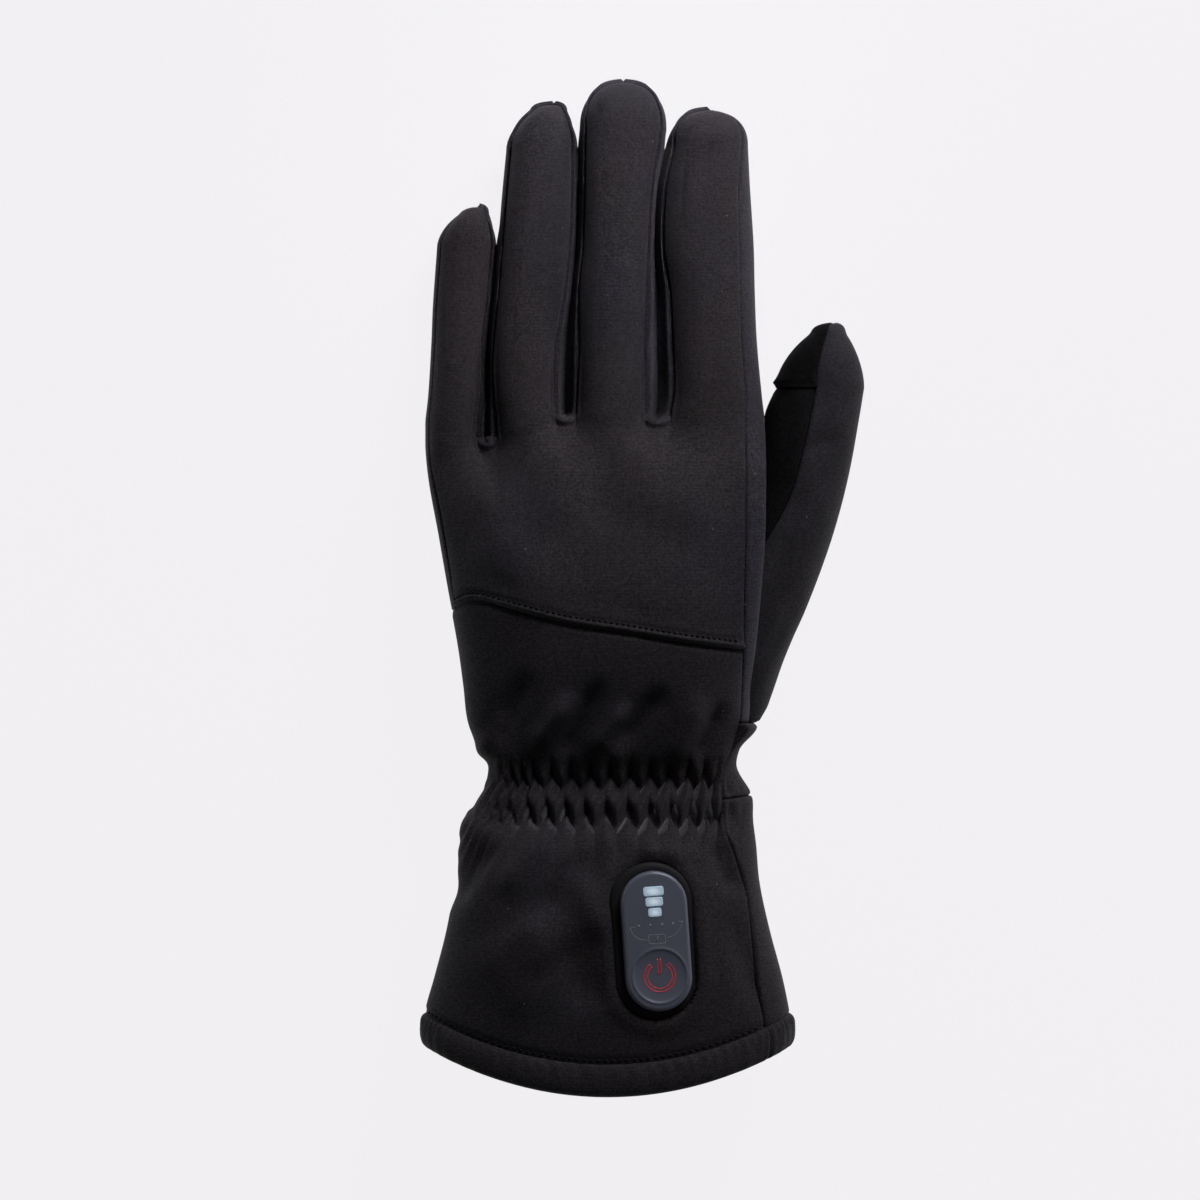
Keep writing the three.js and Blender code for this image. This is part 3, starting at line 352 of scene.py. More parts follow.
bodyTable = np.vstack([
    scaledRows(handShape, palmLength, palmWidth, sizes["handThickness"]),
    scaledRows(wristShape, palmLength, sizes["wristWidth"], sizes["wristThickness"]),
    scaledRows(cuffShape, -cuffLength, sizes["cuffWidth"], sizes["cuffThickness"])])
bodyTable = bodyTable[np.argsort(bodyTable[:, 0])]
bodyCrown, bodyBelly, fingerRound = 2.5, 2.2, 2.3  # squareness of the sections, 2 for an ellipse


# Sections are closed curves in upright planes: two edges, top, bottom, edge heights and squareness
def bodySection(y):
    section = {name: fair(y, bodyTable, i + 1) for i, name in enumerate(bodyColumns)}
    return {**section, "crown": bodyCrown, "belly": bodyBelly, "floor": 0.0}


def fingerSection(finger, y):
    at = np.clip((y - webY) / finger["length"], 0, finger["roundFrom"])
    left, right, seam = (fair(at, finger["rows"], i) * palmWidth for i in (1, 2, 3))
    thick = sizes["fingerThickness"]
    top = thick * lerp(finger["baseTop"], finger["tipTop"], at / finger["roundFrom"])
    edge = thick * finger["tipHeight"]
    return {"left": left, "right": right, "seam": seam, "top": top, "edgeLeft": edge, "edgeRight": edge,
            "bottom": -0.03 * thick, "crown": fingerRound, "belly": fingerRound, "floor": 0.0}


def inset(section, by):
    return {**section, "left": section["left"] + by, "right": section["right"] - by, "top": section["top"] - by,
            "bottom": section["bottom"] + by, "floor": section["floor"] + max(by, 0)}


def middleAndHalf(section):
    return (section["left"] + section["right"]) / 2, (section["right"] - section["left"]) / 2


def placeAt(section, share):
    middle, half = middleAndHalf(section)
    return middle + share * half


def shareOf(section, x):
    middle, half = middleAndHalf(section)
    return np.clip((x - middle) / half, -1, 1)


def bulge(share, squareness):  # a superellipse, eased at its middle so that no line shows there
    ease = 0.07
    eased = (np.hypot(share, ease) - ease) / (math.hypot(1, ease) - ease)
    return np.clip(1 - eased ** squareness, 0, 1) ** (1 / squareness)


def heightAt(section, share, above):
    edge = lerp(section["edgeLeft"], section["edgeRight"], (share + 1) / 2)
    if above:
        return edge + (section["top"] - edge) * bulge(share, section["crown"])
    return np.maximum(section["floor"], edge - (edge - section["bottom"]) * bulge(share, section["belly"]))


def roundSection(section, degrees):  # 0 is the right edge, 90 the top, 180 the left edge
    c, s = np.cos(np.radians(degrees)), np.sin(np.radians(degrees))
    squareness = np.where(s >= 0, section["crown"], section["belly"])
    share = np.sign(c) * np.abs(c) ** (2 / squareness)
    height = np.where(s >= 0, heightAt(section, share, True), heightAt(section, share, False))
    return share, placeAt(section, share), height


def sectionPoints(section, degrees, y):
    _, x, z = roundSection(section, degrees)
    return np.stack([x, np.broadcast_to(y, x.shape), z], -1)


def angleOf(share, squareness):
    return np.degrees(np.arccos(np.clip(np.abs(share), 0, 1) ** (squareness / 2)))


def anglesAlong(section, start, end, shares):  # angles at even lengths round each row's section
    dense = np.linspace(0, 1, 181)
    start, end = np.broadcast_arrays(start, end)
    degrees = start[:, None] + (end - start)[:, None] * dense
    rows = {key: (value[:, None] if np.ndim(value) else value) for key, value in section.items()}
    _, x, z = roundSection(rows, degrees)
    run = np.cumsum(np.hypot(np.diff(x, axis=1), np.diff(z, axis=1)) + 1e-6, axis=1)
    run = np.concatenate([np.zeros((len(run), 1)), run], axis=1)
    return np.stack([np.interp(shares * run[i, -1], run[i], degrees[i]) for i in range(len(run))])


def spaced(length, step, fineEnd=True):  # shares of a length, close together at sewn ends
    near = np.array([0, 0.12, 0.28, 0.5, 0.8, 1.15, 1.6, 2.2])
    end = length - (near[::-1] if fineEnd else np.array([0.0]))
    count = max(2, int(round((end[0] - near[-1]) / step)) + 1)
    return np.concatenate([near, np.linspace(near[-1], end[0], count)[1:-1], end]) / length


def flapY(share):
    return palmLength * fair(np.clip(share, flapEdge[0, 0], flapEdge[-1, 0]), flapEdge, 1)


def bow(level, share):  # how far the cuff's rows curve down in the middle
    down = smooth(palmEnd - level, 0, palmEnd - hemTop)
    sides = np.clip((palmEnd - level) / (palmEnd - hemTop), 0, 1)
    return lerp(down, sides, 0.5) * sizes["hemBow"] * (1 - share * share)


def indexOf(grid, first=0):
    return first + np.arange(grid[..., 0].size).reshape(grid.shape[:-1])


def gridFaces(index):
    return np.stack([index[:-1, :-1], index[:-1, 1:], index[1:, 1:], index[1:, :-1]], -1).reshape(-1, 4)


def ringedGrid(grid, wrapRows=False, caps=False):  # points and faces of a grid whose rows are closed rings
    index = indexOf(grid)
    wrapped = np.hstack([index, index[:, :1]])
    faces = gridFaces(np.vstack([wrapped, wrapped[:1]]) if wrapRows else wrapped).tolist()
    if caps:
        faces += [index[-1].tolist(), index[0][::-1].tolist()]
    return grid.reshape(-1, 3), faces


class Sheet:  # an outer and an inner surface with the same faces, closed along their edges
    def __init__(self):
        self.parts, self.faces, self.count = [], [], 0

    def add(self, outer, inner):
        index = indexOf(outer, self.count)
        self.parts.append((outer.reshape(-1, 3), inner.reshape(-1, 3)))
        self.count += index.size
        return index

    def join(self, index):
        self.faces += gridFaces(index).tolist()

    def settle(self):  # fixes which way is out
        self.outer, self.inner = (np.vstack(layer) for layer in zip(*self.parts))
        self.normals = normalsOf(self.outer, self.faces)
        if np.sum(self.normals * (self.outer - self.inner)) < 0:
            self.faces = [face[::-1] for face in self.faces]
            self.normals = -self.normals
        self.rest = self.outer.copy()

    def push(self, amount, aboveFloor=False):  # the lining gives way where the cloth dips deep
        amount = np.asarray(amount)[:, None]
        self.outer = self.outer + self.normals * amount
        self.inner = self.inner + self.normals * np.minimum(amount + 1.3, 0)
        if aboveFloor:
            self.outer[:, 2] = np.maximum(self.outer[:, 2], 0.0)


def normalsOf(points, faces):
    mesh = bpy.data.meshes.new("scratch")
    mesh.from_pydata(points.tolist(), [], faces)
    normals = np.empty(len(points) * 3)
    mesh.vertex_normals.foreach_get("vector", normals)
    bpy.data.meshes.remove(mesh)
    return normals.reshape(-1, 3)


def treeOf(points):
    tree = kdtree.KDTree(len(points))
    for i, point in enumerate(points):
        tree.insert(point, i)
    tree.balance()
    return tree


def distanceTo(points, lines):  # from each point to the nearest of some lines
    dense = []
    for line in lines:
        steps = np.maximum(1, (np.linalg.norm(np.diff(line, axis=0), axis=1) / 0.25).astype(int))
        for a, b, count in zip(line[:-1], line[1:], steps):
            dense.append(a + (b - a) * (np.arange(count) / count)[:, None])
        dense.append(line[-1:])
    tree = treeOf(np.vstack(dense))
    return np.array([tree.find(point)[2] for point in points])


seamRoll = {"radius": 1.15, "depth": 0.95, "deepest": -1.2}


def rollIn(distance, radius=seamRoll["radius"], depth=seamRoll["depth"]):  # cloth turning down into a seam
    t = 1 - np.clip(distance / radius, 0, 1)
    return -depth * (1 - np.sqrt(np.clip(1 - t * t, 0, 1))) - 0.12 * hump(distance, 2.6 * radius)


def meshPiece(name, points, faces, materials, slot, node=None, faceMaterials=None):
    mesh = bpy.data.meshes.new(name)
    mesh.from_pydata((np.asarray(points) / 1000).tolist(), [], faces)
    for material in materials:
        mesh.materials.append(material)
    if faceMaterials is not None:
        mesh.polygons.foreach_set("material_index", faceMaterials)
    mesh.polygons.foreach_set("use_smooth", [True] * len(mesh.polygons))
    mesh.validate()
    piece = bpy.data.objects.new(name, mesh)
    bpy.context.collection.objects.link(piece)
    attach(piece, "root")
    if node:
        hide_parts(node)
    return piece


def clothPiece(name, sheet, material, node, slot):
    count = len(sheet.outer)
    edges = {(a, b) for face in sheet.faces for a, b in zip(face, face[1:] + face[:1])}
    rim = [(b, a, a + count, b + count) for a, b in edges if (b, a) not in edges]
    lining = [[i + count for i in reversed(face)] for face in sheet.faces]
    kinds = [0] * len(sheet.faces) + [1] * len(lining) + [0] * len(rim)
    meshPiece(name, np.vstack([sheet.outer, sheet.inner]), sheet.faces + lining + sorted(rim), [material, fleece],
              slot, node, kinds)
    print(name + ":", len(sheet.faces), "faces outside")


# Soft unevenness that all the cloth shares
waves = [(rng.normal(size=3) / rng.uniform(9, 30), rng.uniform(0, 6.28), rng.uniform(0.03, 0.10)) for _ in range(22)]


def unevenness(points, fromSeam):
    drift = sum(size * np.sin(points @ direction + phase) for direction, phase, size in waves)
    return drift * smooth(fromSeam, 0, 6)


def foldsOn(points, folds):  # each fold: start x, y, end x, y, half width, height
    total = np.zeros(len(points))
    for x0, y0, x1, y1, width, height in folds:
        along = np.array([x1 - x0, y1 - y0])
        length = np.linalg.norm(along)
        offset = points[:, :2] - (x0, y0)
        t = offset @ along / length ** 2
        side = np.abs(offset @ np.array([-along[1], along[0]])) / length
        fade = smooth(t, -0.15, 0.3) * (1 - smooth(t, 0.7, 1.15)) * (points[:, 2] > 8)
        total += height * hump(side, width) * fade
    return total


# Fingers: r goes from 0 at the web to 1 where the end rounds, and to 2 at the tip
nearlyOne = 0.9996


def tipShare(r):
    return np.sin(np.clip(r - 1, 0, 1) * math.pi / 2)


def rounded(section, share, tipX, blunt, bluntEnd):  # draws a section in towards a tip
    width, height = bulge(share, lerp(blunt, bluntEnd, smooth(share, 0.8, 1.0))), bulge(share, 2.2)
    edge = section["edgeLeft"]
    ends = {"left": (tipX, width), "right": (tipX, width), "top": (edge, height), "bottom": (edge, height)}
    return {**section, **{key: lerp(end, section[key], by) for key, (end, by) in ends.items()}}


def fingerAt(finger, r, yStart, depth=0.0):
    share = tipShare(r) * nearlyOne
    straight = yStart + (finger["roundY"] - yStart) * np.clip(r, 0, 1)
    section = inset(fingerSection(finger, straight), depth)
    y = np.where(r <= 1, straight, finger["roundY"] + share * (finger["roundLength"] - depth))
    return rounded(section, share, finger["tip"] * palmWidth, finger["blunt"], 2.1), y


def fingerSeams(finger, r, yStart):  # shares of half width where the back's right and left seams run
    section = fingerSection(finger, yStart + (finger["roundY"] - yStart) * np.clip(r, 0, 1))
    knots, ends = [0, 0.46, 0.75, 0.91, 0.983, 1], [0.90, 0.93, 0.96, 1, 1]
    right = shareOf(section, section["seam"])
    leftStart = 0.88
    right = np.where(r > 1, np.interp(tipShare(r), knots, [float(right[-1]), *ends]), right)
    left = np.where(r > 1, np.interp(tipShare(r), knots, [leftStart, *ends]), leftStart)
    return right, left


def fingerRows(finger):
    straight = np.linspace(0, 1, int(finger["length"] * finger["roundFrom"]) + 1)
    return np.concatenate([straight, 1 + np.linspace(0.07, 1, 17)])


def baseYs(k):  # where the finger's right and left sides start
    rise = [webY + r * palmLength + sizes["webRadius"] for _, r in webs]
    return (webY if k == 0 else rise[k - 1]), (webY + webs[2][1] * palmLength if k == 3 else rise[k])


def fingerGrid(k, above, shares, depth):
    finger = fingers[k]
    r = fingerRows(finger)
    right, left = baseYs(k)
    start, end = fingerSeams(finger, r, right)[0], fingerSeams(finger, r, left)[1]
    sign = 1 if above else -1
    section, _ = fingerAt(finger, r, (right + left) / 2)
    start, end = angleOf(start, fingerRound), 180 - angleOf(end, fingerRound)
    angles = anglesAlong(section, sign * start, sign * end, shares)
    section, y = fingerAt(finger, r[:, None], lerp(right, left, shares)[None, :], depth)
    return sectionPoints(section, angles, y)


def sideGrid(k, side, shares, depth):  # the side of a finger between its upper and lower seam
    finger = fingers[k]
    r = fingerRows(finger)
    which = 0 if side > 0 else 1
    yStart = baseYs(k)[which]
    angle = angleOf(fingerSeams(finger, r, yStart)[which], fingerRound)
    start, end = (angle, -angle) if side > 0 else (180 - angle, 180 + angle)
    section, _ = fingerAt(finger, r, yStart)
    angles = anglesAlong(section, start, end, shares)
    section, y = fingerAt(finger, r[:, None], yStart, depth)
    return sectionPoints(section, angles, y)


webArc = {"columns": 9, "lift": 3.2}


def arcPoints(a, b, depth, lift, rise=0.0):  # the round bottom between two fingers, from a to b
    turn = np.pi * np.arange(1, webArc["columns"] + 1) / (webArc["columns"] + 1)
    turn = turn.reshape((-1,) + (1,) * (a.ndim - 1))
    points = (a + b) / 2 + (a - b) / 2 * np.cos(turn)[..., None]
    points[..., 1] -= (sizes["webRadius"] + depth - rise) * np.sin(turn)
    points[..., 2] += lift * np.sin(turn)
    return points


def blurred(values, x, width=4.5):
    weights = np.exp(-((x[:, None] - x[None, :]) / width) ** 2) * np.abs(np.gradient(x))[None, :]
    return weights @ values / weights.sum(axis=1)[:, None]


def relaxed(grid, weight, rounds=90):  # evens out a grid below its first row
    for _ in range(rounds):
        middle = (grid[:-2, 1:-1] + grid[2:, 1:-1] + grid[1:-1, :-2] + grid[1:-1, 2:]) / 4
        grid[1:-1, 1:-1] += 0.8 * weight[:-1, 1:-1, None] * (middle - grid[1:-1, 1:-1])
    return grid[1:]


comb = {"fingerWidth": 27.0, "backSeam": 0.97, "palmSeam": 0.96, "easeSlope": 16.0, "easeShape": 20.0}


# The back and the palm are cut like combs: four half fingers on one half of the hand
def combSheet(above, endOf, step, length):
    sheet = Sheet()
    shares = spaced(comb["fingerWidth"], step)
    layers = (0.0, wall)
    grids = [[fingerGrid(k, above, shares, depth) for depth in layers] for k in range(4)]
    topRows, topPoints, slopes = [], [], []
    for k, pair in enumerate(grids):
        index = sheet.add(*pair)
        sheet.join(index[::-1])
        sheet.faces.append(index[-1].tolist()[::-1])
        topRows.append(index[0])
        topPoints.append([pair[0][0], pair[1][0]])
        slopes.append((pair[0][0, :, 2] - pair[0][2, :, 2]) / (pair[0][2, :, 1] - pair[0][0, :, 1]))
        if k < 3:
            lift = webArc["lift"] if above else 0.0
            arcs = [arcPoints(pair[i][0, -1], grids[k + 1][i][0, 0], depth, lift) for i, depth in enumerate(layers)]
            topRows.append(sheet.add(*arcs))
            topPoints.append(arcs)
            slopes.append(np.zeros(webArc["columns"]))
    topIndex = np.concatenate(topRows)
    top = [np.vstack(layer) for layer in zip(*topPoints)]
    start = top[0]
    section = bodySection(start[:, 1])
    squareness = section["crown"] if above else section["belly"]
    share = shareOf(section, start[:, 0])
    angle = angleOf(share, squareness)
    angle = np.where(share >= 0, angle, 180 - angle)
    angle = np.maximum.accumulate(angle + 1e-4 * np.arange(len(angle)))
    turn = (angle - angle[0]) / (angle[-1] - angle[0])

    def seamAngles(y):
        level = bodySection(y)
        rightShare = shareOf(level, level["seam"]) if above else comb["palmSeam"]
        leftShare = comb["backSeam"] if above else comb["palmSeam"]
        return angleOf(rightShare, squareness), 180 - angleOf(leftShare, squareness)

    def bodyPoint(y, degrees, depth):
        _, x, z = roundSection(inset(bodySection(y), depth), degrees if above else -degrees)
        return x, z

    for _ in range(4):  # the lower edge and the share across depend on each other
        y = lerp(start[:, 1], endOf(share), spaced(length, step, above)[1:, None])
        degrees = lerp(*seamAngles(y), turn)
        share = roundSection(bodySection(y), degrees)[0]
    topSlope = blurred(np.concatenate(slopes)[:, None], start[:, 0])[:, 0]
    topAngles = lerp(*seamAngles(start[:, 1]), turn)
    away = start[:, 1] - y
    hand = []
    for depth, edge in zip(layers, top):
        x0, z0 = bodyPoint(start[:, 1], topAngles, depth)
        x, z = bodyPoint(y, degrees, depth)
        bodySlope = (bodyPoint(start[:, 1] - 0.5, topAngles, depth)[1] - z0) / 0.5
        z = z + (topSlope - bodySlope) * away * (1 - smooth(away, 0, comb["easeSlope"]))
        shift = np.stack([edge[:, 0] - x0, edge[:, 1] - start[:, 1], edge[:, 2] - z0], -1)
        shift = lerp(shift, blurred(shift, edge[:, 0]), smooth(away, 0.5, 6.0)[..., None])
        grid = np.stack([x, y, z], -1) + shift * (1 - smooth(away, 0, comb["easeShape"]))[..., None]
        hand.append(relaxed(np.concatenate([edge[None], grid]), smooth(away, 2.0, 8.0) * np.exp(-away / 18.0)))
    sheet.join(np.vstack([topIndex[None, :], sheet.add(*hand)]))
    sheet.settle()
    # sewn lines, each as an outer and an inner one
    sheet.end = hand[0][-1]
    sheet.right = [np.vstack([grids[0][i][::-1, 0], hand[i][:, 0]]) for i in (0, 1)]
    sheet.left = [np.vstack([grids[3][i][::-1, -1], hand[i][:, -1]]) for i in (0, 1)]
    sheet.webLines = []
    for k in range(3):
        first = (k + 1) * len(shares) + k * webArc["columns"]
        arc = slice(first, first + webArc["columns"])
        sheet.webLines.append([np.vstack([grids[k][i][::-1, -1], top[i][arc], grids[k + 1][i][:, 0]])
                               for i in (0, 1)])
    sheet.seams = [line[0] for line in (sheet.right, sheet.left, *sheet.webLines)]
    return sheet


backLook = {
    "step": 0.85, "length": 60.0, "flapLip": 0.35, "flapRadius": 0.9, "flapTurn": 1.3, "stitchInset": 2.3,
    "stitchDent": 0.35, "rim": 0.75, "rimAt": 1.25, "webRim": 0.5, "webGroove": 0.4,
    "folds": [  # soft dents and swells over the hand
        (-36, 66, -14, 36, 9, -1.3), (18, 54, 16, 32, 9, 1.3), (-12, 56, -14, 32, 8, 1.1), (3, 54, 2, 30, 6, -1.0),
        (-30, 30, -12, 8, 8, 0.9), (38, 44, 36, 6, 6, -0.8), (28, 30, 4, 2, 8, -0.8), (-42, 50, -34, 18, 5, -0.7),
        (24, 24, 14, 4, 8, 0.7), (-24, 16, -34, 6, 6, -0.7)],
}
back = combSheet(True, flapY, backLook["step"], backLook["length"])


def flapDistance(points):  # how far a point lies above the overlapping edge
    section = bodySection(points[:, 1])
    share = shareOf(section, points[:, 0])
    slope = (flapY(share + 0.01) - flapY(share - 0.01)) / 0.02 / middleAndHalf(section)[1]
    return (points[:, 1] - flapY(share)) / np.sqrt(1 + slope ** 2)


fromSeam = distanceTo(back.rest, back.seams)
fromFlap = flapDistance(back.rest)
edgeTurn = 1 - np.clip(fromFlap / backLook["flapRadius"], 0, 1)
lip = backLook["flapLip"] * (1 - smooth(fromFlap, 3.0, 7.0))
lip -= backLook["flapTurn"] * (1 - np.sqrt(np.clip(1 - edgeTurn ** 2, 0, 1)))
lip -= backLook["stitchDent"] * hump(fromFlap - backLook["stitchInset"], 0.45)
lip += backLook["rim"] * hump(fromFlap - backLook["rimAt"], 0.7)
webCentres = [line[0][len(line[0]) // 2, :2] for line in back.webLines]
fromWebs = [np.linalg.norm(back.rest[:, :2] - centre, axis=1) for centre in webCentres]
nearWeb = np.max([1 - smooth(gap, 9, 20) for gap in fromWebs], axis=0)
rim = nearWeb * (backLook["webRim"] * hump(fromSeam - 1.1, 0.7) - backLook["webGroove"] * hump(fromSeam - 2.2, 0.4))
back.push(np.maximum(rollIn(fromSeam), seamRoll["deepest"]) + lip + rim + unevenness(back.rest, fromSeam)
          + foldsOn(back.rest, backLook["folds"]))
clothPiece("back_of_hand", back, softshellCloth, "back_panel", "softshell")

palmLook = {"step": 1.5, "length": 85.0}
palm = combSheet(False, lambda share: np.full_like(share, palmEnd), palmLook["step"], palmLook["length"])
palm.push(rollIn(distanceTo(palm.rest, palm.seams + [palm.end])), aboveFloor=True)
clothPiece("palm_of_hand", palm, softshellCloth, "palm_panel", "softshell")


def stripSheet(upper, lower, shape, shares):  # a strip between two sewn lines
    sheet = Sheet()
    nearUpper, nearLower = (1 - smooth(shares, 0, 0.4))[None, :, None], smooth(shares, 0.6, 1)[None, :, None]
    pair = []
    for above, below, grid in zip(upper, lower, shape):
        first, last = above - grid[:, 0], below - grid[:, -1]
        pair.append(grid + first[:, None, :] * nearUpper + last[:, None, :] * nearLower)
    sheet.join(sheet.add(*pair))
    sheet.settle()
    sheet.push(rollIn(distanceTo(sheet.rest, [upper[0], lower[0]])))
    return sheet


fork = {"width": 20.0, "slit": 0.2, "most": 2.9, "sway": 0.6, "lip": 0.9, "bands": [0.60, 0.60, 0.80], "rise": 0.95}
forkShares = spaced(fork["width"], 1.0)


def fingerEdge(finger, y, side):  # x of a finger's side, as far as its tip
    share = np.clip((y - finger["roundY"]) / finger["roundLength"], 0, 1)
    r = np.where(share > 0, 1 + np.arcsin(share) * 2 / math.pi, 0.5)
    section, _ = fingerAt(finger, r, 2 * y - finger["roundY"])
    beyond = y >= finger["roundY"] + finger["roundLength"]
    return np.where(beyond, -side * 1e3, section["right" if side > 0 else "left"])


def slitMove(k, y):  # how far each side of a slit comes in to close it, less and less towards the tips
    gap = fingerEdge(fingers[k], y, -1) - fingerEdge(fingers[k + 1], y, 1)
    roundY, roundLength = min((fingers[j]["roundY"], fingers[j]["roundLength"]) for j in (k, k + 1))
    closed = (1 - smooth(gap, 5.6, 8.0)) * (1 - smooth(y, roundY - 3, roundY + 0.6 * roundLength))
    return (np.clip((gap - fork["slit"]) / 2, 0, fork["most"]) * closed)[:, None], closed[:, None]


for k, (webName, _) in enumerate(webs):
    # a lit band below each seam, then the slit, shut further down and swaying so that no light comes through
    band = fork["bands"][k]
    closing = band * (1 - np.exp(-forkShares / 0.05)) + (1 - band) * smooth(forkShares, 0.2, 0.5)
    closing *= 1 - smooth(forkShares, 0.8, 1.0)
    sway = fork["sway"] * np.sin(2 * np.pi * np.clip((forkShares - 0.4) / 0.6, 0, 1))
    lip = fork["lip"] * hump(fork["width"] * forkShares - 1.4, 0.9)
    rise = fork["rise"] * sizes["webRadius"] * smooth(forkShares, 0.12, 0.5)
    shape = []
    for depth in (0.0, wall):
        before, after = sideGrid(k, -1, forkShares, depth), sideGrid(k + 1, 1, forkShares, depth)
        for side, grid in ((-1, before), (1, after)):
            move, closed = slitMove(k, grid[:, 0, 1])
            grid[..., 0] += side * move * closing - closed * sway
            grid[..., 2] += lip
        shape.append(np.vstack([before[::-1], arcPoints(before[0], after[0], depth, 0.0, rise), after]))
    strip = stripSheet(back.webLines[k], palm.webLines[k], shape, forkShares)
    clothPiece("between_" + webName, strip, sideLitCloth, "fourchette_" + webName, "side_shell")

sideLook = {"width": 26.0, "ease": 15.0}
sideShares = spaced(sideLook["width"], 1.0)


def seamAngle(level):  # where the back's right seam runs round the hand
    section = bodySection(level)
    return angleOf(shareOf(section, section["seam"]), bodyCrown)


def sidePanel(k, side, endY, upperLine, lowerLine):
    finger = fingers[k]
    rows = len(fingerRows(finger))
    base = baseYs(k)[0 if side > 0 else 1]
    levels = np.linspace(base, endY, int(base - endY) + 2)[1:]
    section = bodySection(levels)
    lowerAngle = angleOf(comb["palmSeam"], bodyBelly)
    if side > 0:
        start, end = seamAngle(levels), np.full_like(levels, -lowerAngle)
    else:
        start = np.full_like(levels, 180 - angleOf(comb["backSeam"], bodyCrown))
        end = np.full_like(levels, 180 + lowerAngle)
    angles = anglesAlong(section, start, end, sideShares)
    keep = (1 - smooth(base - levels, 0, sideLook["ease"]))[:, None, None]
    upper, lower, shape = [], [], []
    for i, depth in enumerate((0.0, wall)):
        onFinger = sideGrid(k, side, sideShares, depth)
        onHand = sectionPoints(inset(bodySection(levels[:, None]), depth), angles, levels[:, None])
        moved = onFinger[0] + (onHand - onHand[:1])
        moved[..., 1] = onHand[..., 1]
        shape.append(np.vstack([onFinger[::-1], lerp(onHand, moved, keep)]))
        for lines, target in ((upperLine, upper), (lowerLine, lower)):
            onFingerLine, onHandLine = lines[i][:rows], lines[i][rows - 1:]
            onHandLine = onHandLine[np.argsort(onHandLine[:, 1])]
            x, z = (np.interp(levels, onHandLine[:, 1], onHandLine[:, j]) for j in (0, 2))
            target.append(np.vstack([onFingerLine, np.stack([x, levels, z], -1)]))
    return stripSheet(upper, lower, shape, sideShares)


def withCuffEdge(lines):  # the back's right seam goes on down the cuff's back panel to the palm's end
    longer = []
    for line, depth in zip(lines, (0.0, wall)):
        levels = np.linspace(line[-1, 1] - 1, palmEnd - 0.5, 24)
        onCuff = sectionPoints(inset(bodySection(levels), depth), seamAngle(levels), levels)
        longer.append(np.vstack([line, onCuff]))
    return longer


indexSide = sidePanel(0, 1, palmEnd, withCuffEdge(back.right), palm.right)
clothPiece("index_side", indexSide, sideLitCloth, "index_side_panel", "side_shell")
littleSide = sidePanel(3, -1, float(flapY(-1.0)), back.left, palm.left)
clothPiece("little_side", littleSide, sideLitCloth, "little_side_panel", "side_shell")

# The control's place on the cuff comes first, because the cloth dips round it
control = {"length": 39.3, "width": 18.7, "height": 6.0, "proud": 1.8, "tilt": 4.0, "level": 0.545, "across": 0.30,
           "bevel": 1.1, "crown": 0.35, "buttonRadius": 7.45, "buttonDish": 0.75, "buttonX": 0.2}
control["buttonY"] = -control["length"] / 2 + control["width"] / 2 + 0.6


def backLine(levels, shares, bowed=0.0):  # points on the plain back of the body
    section = bodySection(levels)
    return np.stack([placeAt(section, shares), levels - bowed, heightAt(section, shares, True)], -1)


def controlMatrix():
    level = wristY - control["level"] * cuffLength

    def at(share):
        return backLine(np.array([level]), share, bow(level, share))[0]

    here, beside = at(control["across"]), at(control["across"] + 0.1)
    slope = math.atan2(here[2] - beside[2], beside[0] - here[0])
    turn = Matrix.Rotation(slope, 4, "Y") @ Matrix.Rotation(math.radians(control["tilt"]), 4, "Z")
    return Matrix.Translation(here) @ turn


controlTurn = np.array(controlMatrix())
toControl = np.linalg.inv(controlTurn)


def stadiumGap(x, y, length, width):  # distance outside a stadium, negative inside
    straight = (length - width) / 2
    return np.hypot(x, np.maximum(np.abs(y) - straight, 0)) - width / 2


# Gathers: two sewn rows that pinch the cloth, with a zigzag edge where folds meet each row
gathers = {
    "rowOne": -41.4, "rowTwo": -51.2, "ridge": 1.1, "swell": 0.9,
    "one": (2.7, 2.6, 2.6), "two": (3.2, 3.9, 3.2),  # zigzag, pinch and slope of each sewn row
    "upper": [-31.0, -28.6, -26.2, -23.6, -20.8, -17.6, -12.4, -6.8, -1.2, 4.3, 10.0,
              15.7, 21.2, 26.7, 31.4, 35.2, 38.0],
    "lower": [-35.6, -33.6, -31.6, -29.2, -26.4, -22.4, -16.6, -11.4, -5.8, -0.2, 6.0,
              12.2, 18.2, 24.4, 30.0, 34.6, 38.0],
}


